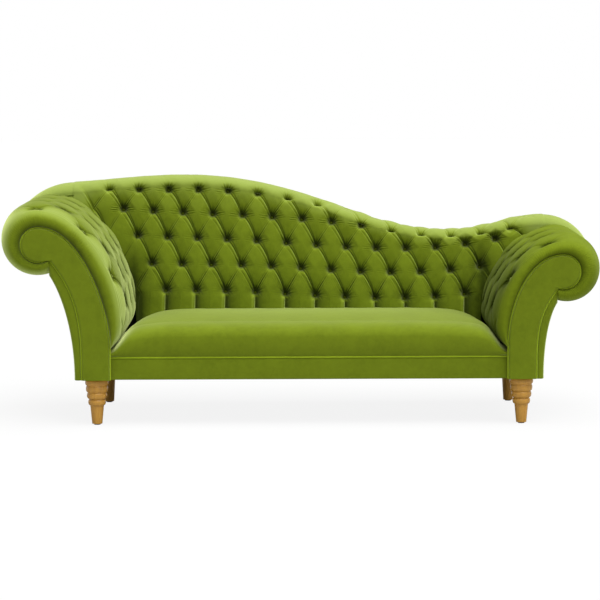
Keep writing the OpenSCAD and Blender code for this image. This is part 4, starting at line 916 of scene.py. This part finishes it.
def seat_loops(g):
    """Loops of the seat pad from the high arm to the low one, and the painted light on its top. Each goes up the
    rounded front, back over the top and forward under the pad. The top falls off beside the arms as exp(-(distance / 55
    mm)^1.9) and exp(-(distance / 132 mm)^1.7), and is crowned as a power of a sine from front to back."""
    end_z, crown, set_back, round_d = 0.276, 0.020, 0.017, 0.100
    d = np.concatenate([g.fit + 0.16 * np.linspace(0, 1, 60) ** 1.5, np.linspace(0.16, g.seat_w / 2, 120)[1:]])
    x = np.concatenate([g.x_in[0] + d, (g.x_in[1] - d)[::-1][1:]])
    near = np.minimum(x - g.x_in[0], g.x_in[1] - x)[:, None]
    swell = 1 - 0.75 * np.exp(-(near / 0.055) ** 1.9) - 0.25 * np.exp(-(near / 0.132) ** 1.7)
    top = end_z + (g.seat_h - end_z) * swell
    y_0, y_1 = g.y0 + set_back, face_y(g, top) - g.fit
    # The rounded front, as depths in millimetres and shares of the height
    w = np.linspace(0, 1, 40)
    front = np.concatenate([cubic((8.0, 0.0), (-2.0, 0.14), (-4.0, 0.40), (1.0, 0.62), w),
                            cubic((1.0, 0.62), (8.0, 0.82), (34.0, 0.985), (100.0, 1.0), w)[1:]])
    y_a, z_a = y_0 + 0.001 * front[None, :, 0], g.z_pad + (top - g.z_pad) * front[None, :, 1]
    t = np.linspace(0, 1, 130)[None, 1:]
    y_b = y_0 + round_d + (y_1 - y_0 - round_d) * t
    # Further back the pad's ends are rounder: 1 - exp(-(distance / 91 mm)^1.37)
    full = swell + (1 - np.exp(-(near / 0.091) ** 1.37) - swell) * smooth(t, 0.05, 0.5)
    z_b = end_z + (g.seat_h - end_z) * full + crown * full * np.sin(np.pi * t ** 0.8) ** 1.2
    y, z = np.concatenate([y_a + 0 * top, y_b], 1), np.concatenate([z_a, z_b], 1)
    xx = np.broadcast_to(x[:, None], y.shape)
    # Soft waves in the top, and short gathers behind the front edge
    ease = smooth(near, 0.02, 0.2) * smooth(np.arange(y.shape[1]), 8, 40)[None]
    z = z + 0.0025 * waves(xx, y, 5.0, 0.16) * ease * smooth(y_1 - y, 0.0, 0.06)
    z = z + 0.0010 * np.exp(-((y - y_0) / 0.12) ** 2) * np.sin(xx / 0.021 + 2.5 * waves(xx, y, 7.0, 0.11)) * ease
    # The rear edge follows the tufts of the back
    sunk = back_depth(g, x, np.full(len(x), g.seat_h))[0]
    y = y + np.minimum(sunk, 0.028)[:, None] * smooth(y, y_1 - 0.05, y_1)
    under = [np.stack([x, b + 0 * x, 0 * x + g.z_pad], -1) for b in (face_y(g, g.z_pad) - g.fit, g.y0 + 0.06)]
    loops = np.concatenate([np.stack([xx, y, z], -1), np.stack(under, 1)], 1)
    # Painted light on the seat's top, from 150 mm behind its front to 450 mm, away from its ends
    return loops, -0.45 * smooth(loops[..., 1], g.y0 + 0.15, g.y0 + 0.45) * smooth(near, 0.10, 0.50)


def welt_loops(g):
    """Loops of the covered cord between the seat pad and the border."""
    n = 400
    x = np.linspace(g.x_in[0] + g.fit, g.x_in[1] - g.fit, n)
    path = np.stack([x, np.full(n, g.y0 + 0.031 - g.welt_r), np.full(n, g.z_pad - g.welt_r - g.fit)], -1)
    return tube(path, g.welt_r)


def border_loops(g):
    """Loops of the padded border under the welt. Its face swells by 2.2 mm as a root of a sine, with folds 80 mm
    apart that waves of 60 mm disturb."""
    set_back, swell, thick = 0.025, 0.0022, 0.0059
    low, high = g.under, g.z_pad - 0.0076
    w = np.linspace(0, 1, 24)
    face = np.stack([swell * (1 - np.sin(np.pi * w) ** 0.5), low + (high - low) * w], -1)
    ring = np.concatenate([face, [[thick, high], [thick, low]]])
    x = np.linspace(g.x_in[0] + g.fit, g.x_in[1] - g.fit, 420)[:, None]
    y, z = ring[None, :, 0], ring[None, :, 1]
    fold = 0.0005 * np.sin(x / 0.013 + 2 * waves(x, z, 8.0, 0.06)) * (y < 0.004)
    return np.stack([x + 0 * fold, g.y0 + set_back + y + np.maximum(fold, 0), z + 0 * fold], -1)


def outside_arm_loops(g, s):
    """Loops of an arm's covered outside from front to back. Each ring runs down the outer curve, under the foot and
    up the facing's stem. The velvet sinks between its tacks in waves, as a sine from front to back."""
    curve, stem = outer_curve(g, s, np.linspace(0, 1, 90)), facing_stem(g, s, 60)[::-1]
    ring = np.concatenate([curve, [[g.stem_w + g.outer_t, g.under], [g.stem_w, g.under]], stem])
    outer = np.concatenate([np.ones(len(curve) + 1), np.zeros(len(stem) + 1)])[:, None]
    # The padded edge starts beside the piping, just behind the facing, and turns with an 18 mm radius. Each step is
    # a depth, how far the outer side lies in, and how far the inner side keeps away from the stem
    clear = 2 * g.pipe_r + 3 * g.fit
    steps = [(0.0090, 0.0180, 0.0115), (0.0092, 0.0140, 0.0090), (0.0102, 0.0100, clear + 0.001),
             (0.0120, 0.0066, clear), (0.0142, 0.0040, clear), (0.01435, 0.0039, g.fit), (0.019, 0.0018, g.fit),
             (0.027, 0, g.fit)]
    loops = []
    for y, inset, away in steps:
        p = ring - outer * [inset, 0] + (1 - outer) * [away, 0]
        loops.append(np.stack([at_side(g, s, p[:, 0]), np.full(len(p), g.y0 + y), p[:, 1]], -1))
    for t in np.linspace(0, 1, 60)[1:]:
        y = g.y0 + 0.027 + (out_y(g, ring[:, 1]) - 0.0006 - g.y0 - 0.027) * t
        dent = 0.0014 * waves(y, ring[:, 1], 9.0 + s, 0.10) * np.sin(np.pi * t)
        p = ring - outer * np.stack([np.abs(dent), 0 * dent], -1) + (1 - outer) * [g.fit, 0]
        loops.append(np.stack([at_side(g, s, p[:, 0]), y, p[:, 1]], -1))
    return np.array(loops)


def inset_outline(points, d):
    """A closed outline moved inwards by d. It runs clockwise seen from the front of a right arm."""
    along = np.roll(points, -1, 0) - np.roll(points, 1, 0)
    along /= np.linalg.norm(along, axis=1)[:, None] + 1e-12
    return points + d * np.stack([along[:, 1], -along[:, 0]], -1)


def outside_back_loops(g):
    """Loops of the outside back, a thin padded plate with a soft edge: its outline, then the same set in, each a
    little further to the rear. It reaches 7 degrees past the end of the high wing, over the end of the top rail."""
    past = 7
    line = np.concatenate([
        arc((g.wing_x[0], g.wing_z[0]), g.wing_r[0], g.wing_end[0] + past, 90, 60)[:-1], g.crest[:-1],
        arc((g.wing_x[1], g.wing_z[1]), g.wing_r[1], 90, g.wing_end[1], 60)])
    line = sideways(line, -g.drop - g.fit)
    left, right = (outer_curve(g, s, np.linspace(start, 1, 40)) for s, start in ((LEFT, 0.30), (RIGHT, 0.22)))
    right = np.stack([at_side(g, RIGHT, right[:, 0]), right[:, 1]], -1)
    left = np.stack([at_side(g, LEFT, left[:, 0]), left[:, 1]], -1)[::-1]
    base = np.stack([np.linspace(right[-1, 0], left[0, 0], 200), np.full(200, g.under)], -1)
    outline = even(np.concatenate([line, right, base, left]), 900)
    loops = []
    for inset, y in [(0.0, 0.0002), (0.0, 0.0022), (0.0010, 0.0036), (0.0030, 0.0046)]:
        p = inset_outline(outline, inset)
        loops.append(np.stack([p[:, 0], out_y(g, p[:, 1]) + y, p[:, 1]], -1))
    return np.array(loops)


def dust_mesh(low, high, legs):
    """The cloth tacked under the frame, from its box's corners, with a hole at each leg. It sags as
    5 mm (1 - exp(-distance / 120 mm)) from what holds it, with slack waves of 0.6 mm. Its turned hem puckers between
    tacks 60 mm apart."""
    tacks, hole_r, held_r = 0.06, 0.0085, 0.045
    lines = []
    for k in (0, 1):
        fine = [leg[k] + np.linspace(-0.016, 0.016, 9) for leg in legs]
        line = np.unique(np.concatenate([np.linspace(low[k], high[k], (180, 70)[k]), *fine]).round(4))
        line = line[np.concatenate([[True], np.diff(line) > 0.0015])]
        lines.append(np.clip(line, low[k], high[k]))
    x, y = np.meshgrid(*lines, indexing="ij")
    edge_x, edge_y = np.minimum(x - low[0], high[0] - x), np.minimum(y - low[1], high[1] - y)
    edge = np.minimum(edge_x, edge_y)
    leg_gap = np.min([np.hypot(x - leg[0], y - leg[1]) for leg in legs], axis=0)
    free = 1 - np.exp(-np.minimum(edge, np.maximum(leg_gap - held_r, 0)) / 0.12)
    z = high[2] - 0.0014 - 0.005 * free + 0.0006 * waves(x, y, 2.0, 0.05) * free
    along = np.where(edge_x < edge_y, y, x)
    z = z - 0.0009 * groove(edge - 0.012, 0.005) * (1 - np.cos(2 * np.pi * along / tacks)) / 2
    grid = np.arange(x.size).reshape(x.shape)
    quads = np.stack([grid[:-1, :-1], grid[1:, :-1], grid[1:, 1:], grid[:-1, 1:]], -1).reshape(-1, 4)
    mid = np.stack([x, y], -1).reshape(-1, 2)[quads].mean(1)
    quads = quads[np.min([np.linalg.norm(mid - leg, axis=1) for leg in legs], axis=0) > hole_r]
    mesh = bpy.data.meshes.new("dust_cloth")
    mesh.from_pydata(np.stack([x, y, z], -1).reshape(-1, 3).tolist(), [], quads.tolist())
    return mesh


# ---------------------------------------------------------------- operators

class COUCH_OT_back(bpy.types.Operator):
    """Makes the deep-buttoned serpentine back with its rolled top and wings"""
    bl_idname, bl_label = "couch.back", "Back"

    def execute(self, context):
        g = couch()
        loops, crease = back_loops(g)
        skin("back_velvet", loops, velvet(), ["back_pad"], crease)
        places = [placed(c, n) for c, n in back_button_places(g)]
        many("back_velvet_buttons", button_shape(g.button_r), places, button_velvet(),
             ["back_buttons"])
        return {"FINISHED"}


class COUCH_OT_arms(bpy.types.Operator):
    """Makes the tufted pads of the two scroll arms and their buttons"""
    bl_idname, bl_label = "couch.arms", "Arms"

    def execute(self, context):
        g = couch()
        for s, side in enumerate(SIDES):
            loops, crease = arm_loops(g, s)
            # Painted shade: each arm gets a copy of the velvet with less sheen, and the low arm's has so little that it
            # looks darker than the high arm
            finish = velvet("arm_velvet", sheen=0.7) if s == LEFT else velvet("low_arm_velvet", sheen=0.1)
            skin(f"arm_velvet_{side}", loops, finish, [f"arm_pad_{side}"], crease)
            places = [placed(c, n) for c, n in arm_button_places(g, s)]
            many(f"arm_velvet_buttons_{side}", button_shape(g.button_r), places, button_velvet(),
                 [f"arm_buttons_{side}"])
        return {"FINISHED"}


class COUCH_OT_facings(bpy.types.Operator):
    """Makes the flat facings of the scrolls and the piping round them"""
    bl_idname, bl_label = "couch.facings", "Facings and piping"

    def execute(self, context):
        g = couch()
        for s, side in enumerate(SIDES):
            skin(f"facing_velvet_{side}", facing_loops(g, s), velvet("facing_velvet"),
                 [f"arm_facing_{side}"], sharp=50)
            skin(f"piping_velvet_{side}", piping_loops(g, s), piping_velvet(),
                 [f"arm_piping_{side}"])
        return {"FINISHED"}


class COUCH_OT_seat(bpy.types.Operator):
    """Makes the sprung seat pad, its welt and the padded border under it"""
    bl_idname, bl_label = "couch.seat", "Seat"

    def execute(self, context):
        g = couch()
        loops, seat_painted_light = seat_loops(g)
        skin("seat_velvet", loops, velvet(), ["seat_pad"], seat_painted_light)
        skin("seat_welt_velvet", welt_loops(g), piping_velvet(), ["seat_welt"])
        skin("border_velvet", border_loops(g), velvet("facing_velvet"), ["front_border"])
        return {"FINISHED"}


class COUCH_OT_outside(bpy.types.Operator):
    """Makes the covered outsides of the arms and of the back"""
    bl_idname, bl_label = "couch.outside", "Outsides"

    def execute(self, context):
        g = couch()
        for s, side in enumerate(SIDES):
            skin(f"outside_arm_velvet_{side}", outside_arm_loops(g, s), velvet("facing_velvet"),
                 [f"outside_arm_{side}"], sharp=50)
        skin("outside_back_velvet", outside_back_loops(g), velvet("facing_velvet"), ["outside_back"],
             sharp=60)
        return {"FINISHED"}


class COUCH_OT_dust_cover(bpy.types.Operator):
    """Makes the thin black cloth tacked under the frame, which sags a little between its edges"""
    bl_idname, bl_label = "couch.dust_cover", "Dust cover"

    def execute(self, context):
        low, high = (np.array(corner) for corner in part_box("dust_cover"))
        legs = [np.array(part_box(f"{end}_leg_{side}")).mean(0)[:2] for end in ("front", "rear") for side in SIDES]
        obj = piece("dust_cloth", dust_mesh(low, high, legs), black_cloth(), ["dust_cover"])
        solid = obj.modifiers.new("thickness", "SOLIDIFY")
        solid.thickness, solid.offset = 0.0008, 0.0
        return {"FINISHED"}


class COUCH_OT_frame(bpy.types.Operator):
    """Gives the legs and the hidden frame, springs and cloths their finishes"""
    bl_idname, bl_label = "couch.frame", "Legs and frame"

    def execute(self, context):
        finishes = {
            "beech": beech(),
            # Planed hardwood, unvarnished: pale and matt, with grain lines 17 mm apart drawn 170 mm long
            "frame_wood": plain("planed_hardwood", "#cdaa70", "#a98147", 0.6, (6, 60, 60)),
            # Drawn spring steel and turned fasteners: grey and half bright, with marks drawn 3 mm coarse to show
            "steel": plain("drawn_steel", "#a5a8ab", "#7d8083", 0.32, (300, 300, 300), metallic=1.0, bump=0.1),
            # Pressed wood fibre: brown and matt, with fibres drawn 3 mm coarse to show
            "hardboard": plain("pressed_board", "#8f775a", "#6f5a41", 0.8, (300, 300, 300)),
            # Needled felt of mixed fibres: grey and fully matt, with tufts 6 mm wide
            "felt": plain("pressed_felt", "#8f8b7c", "#6d695c", 0.95, (180, 180, 180), bump=0.5),
            "black_cloth": black_cloth(),
            # Moulded polyethylene: black and waxy, with a faint unevenness of 5 mm
            "glide_plastic": plain("black_glide_plastic", "#2d2d2d", "#232323", 0.45, (200, 200, 200)),
        }
        for part in frame["record"]["subparts"]:
            finish = finishes.get(part["material_slot"])
            if finish:
                mesh = frame["nodes"][part["node"]].data
                mesh.materials.clear()
                mesh.materials.append(finish)
        return {"FINISHED"}


class COUCH_OT_stage(bpy.types.Operator):
    """Makes the pale floor, the soft light and the camera"""
    bl_idname, bl_label = "couch.stage", "Stage"

    def execute(self, context):
        scene = context.scene
        # A matt floor that throws soft light back up, and is nearly white to the camera but for the shadow
        mat, tree, out, _ = new_material("pale_floor")
        ray = add(tree, "ShaderNodeLightPath").outputs["Is Camera Ray"]
        part = add(tree, "ShaderNodeMath", {0: ray, 1: 0.88}, operation="MULTIPLY")
        soft = add(tree, "ShaderNodeBsdfDiffuse", {"Color": (0.5, 0.5, 0.5, 1.0)})
        lit = add(tree, "ShaderNodeEmission", {"Color": (1.0, 1.0, 1.0, 1.0), "Strength": 1.0})
        floor_mix = add(tree, "ShaderNodeMixShader", {0: part.outputs[0], 1: soft.outputs[0], 2: lit.outputs[0]})
        tree.links.new(floor_mix.outputs[0], out.inputs["Surface"])
        bpy.ops.mesh.primitive_plane_add(size=60)
        floor = context.object
        floor.name = "floor"
        floor.data.materials.append(mat)
        # A dim even sky, white where the camera sees it, straight or in a surface
        world = bpy.data.worlds.new("studio")
        world.use_nodes = True
        scene.world = world
        tree = world.node_tree
        tree.nodes.clear()
        ray = add(tree, "ShaderNodeLightPath")
        seen = add(tree, "ShaderNodeMath", {0: ray.outputs["Is Camera Ray"], 1: ray.outputs["Is Glossy Ray"]},
                   operation="MAXIMUM")
        seen = add(tree, "ShaderNodeMath", {0: seen.outputs[0], 1: ray.outputs["Is Transmission Ray"]},
                   operation="MAXIMUM")
        dim = add(tree, "ShaderNodeBackground", {"Color": (1, 1, 1, 1), "Strength": 0.38})
        white = add(tree, "ShaderNodeBackground", {"Color": (1, 1, 1, 1), "Strength": 1.0})
        mixed = add(tree, "ShaderNodeMixShader", {0: seen.outputs[0], 1: dim.outputs[0], 2: white.outputs[0]})
        add(tree, "ShaderNodeOutputWorld", {"Surface": mixed.outputs[0]})
        # Wide soft lamps that shine from their place to the origin: a strong one from above and a weak one in front
        for name, place, spread, power in (("key", (0.8, -1.5, 1.9), 45, 1.0), ("top", (0.35, -0.25, 2.0), 60, 4.9)):
            x, y, z = place
            lamp = bpy.data.lights.new(name, "SUN")
            lamp.angle, lamp.energy = np.radians(spread), power
            obj = bpy.data.objects.new(name, lamp)
            scene.collection.objects.link(obj)
            obj.location = place
            obj.rotation_euler = (np.arctan2(np.hypot(x, y), z), 0, np.arctan2(x, -y))
        # The camera that fits the photo: far off, a little above the couch and looking down
        distance, height, down, roll = 9.87, 1.398, 5.378, 0.23
        cam = bpy.data.cameras.new("camera")
        cam.sensor_width, cam.lens = 36.0, 161.0
        cam.clip_end = 200
        obj = bpy.data.objects.new("camera", cam)
        scene.collection.objects.link(obj)
        obj.location = (0.001, couch().y0 - distance, height)
        obj.rotation_euler = (np.radians(90 - down), np.radians(roll), 0)
        scene.camera = obj
        scene.view_settings.view_transform = "Standard"
        return {"FINISHED"}


class COUCH_PT_panel(bpy.types.Panel):
    """Lists the couch's pieces, sizes and colours"""
    bl_idname, bl_label = "COUCH_PT_panel", "Fainting couch"
    bl_space_type, bl_region_type, bl_category = "VIEW_3D", "UI", "Couch"

    def draw(self, context):
        for group in (context.scene.couch_sizes, context.scene.couch_colours):
            for name in group.__annotations__:
                self.layout.prop(group, name)
        for operator in OPERATORS:
            self.layout.operator(operator.bl_idname)


OPERATORS = (COUCH_OT_stage, COUCH_OT_back, COUCH_OT_arms, COUCH_OT_facings, COUCH_OT_seat, COUCH_OT_outside,
             COUCH_OT_dust_cover, COUCH_OT_frame)
CLASSES = (CouchSizes, CouchColours, *OPERATORS, COUCH_PT_panel)


def register():
    for each in CLASSES:
        bpy.utils.register_class(each)
    bpy.types.Scene.couch_sizes = PointerProperty(type=CouchSizes)
    bpy.types.Scene.couch_colours = PointerProperty(type=CouchColours)


def unregister():
    del bpy.types.Scene.couch_colours, bpy.types.Scene.couch_sizes
    for each in reversed(CLASSES):
        bpy.utils.unregister_class(each)


def main():
    register()
    for operator in OPERATORS:
        getattr(bpy.ops.couch, operator.bl_idname.split(".")[1])()


if __name__ == "__main__":
    main()
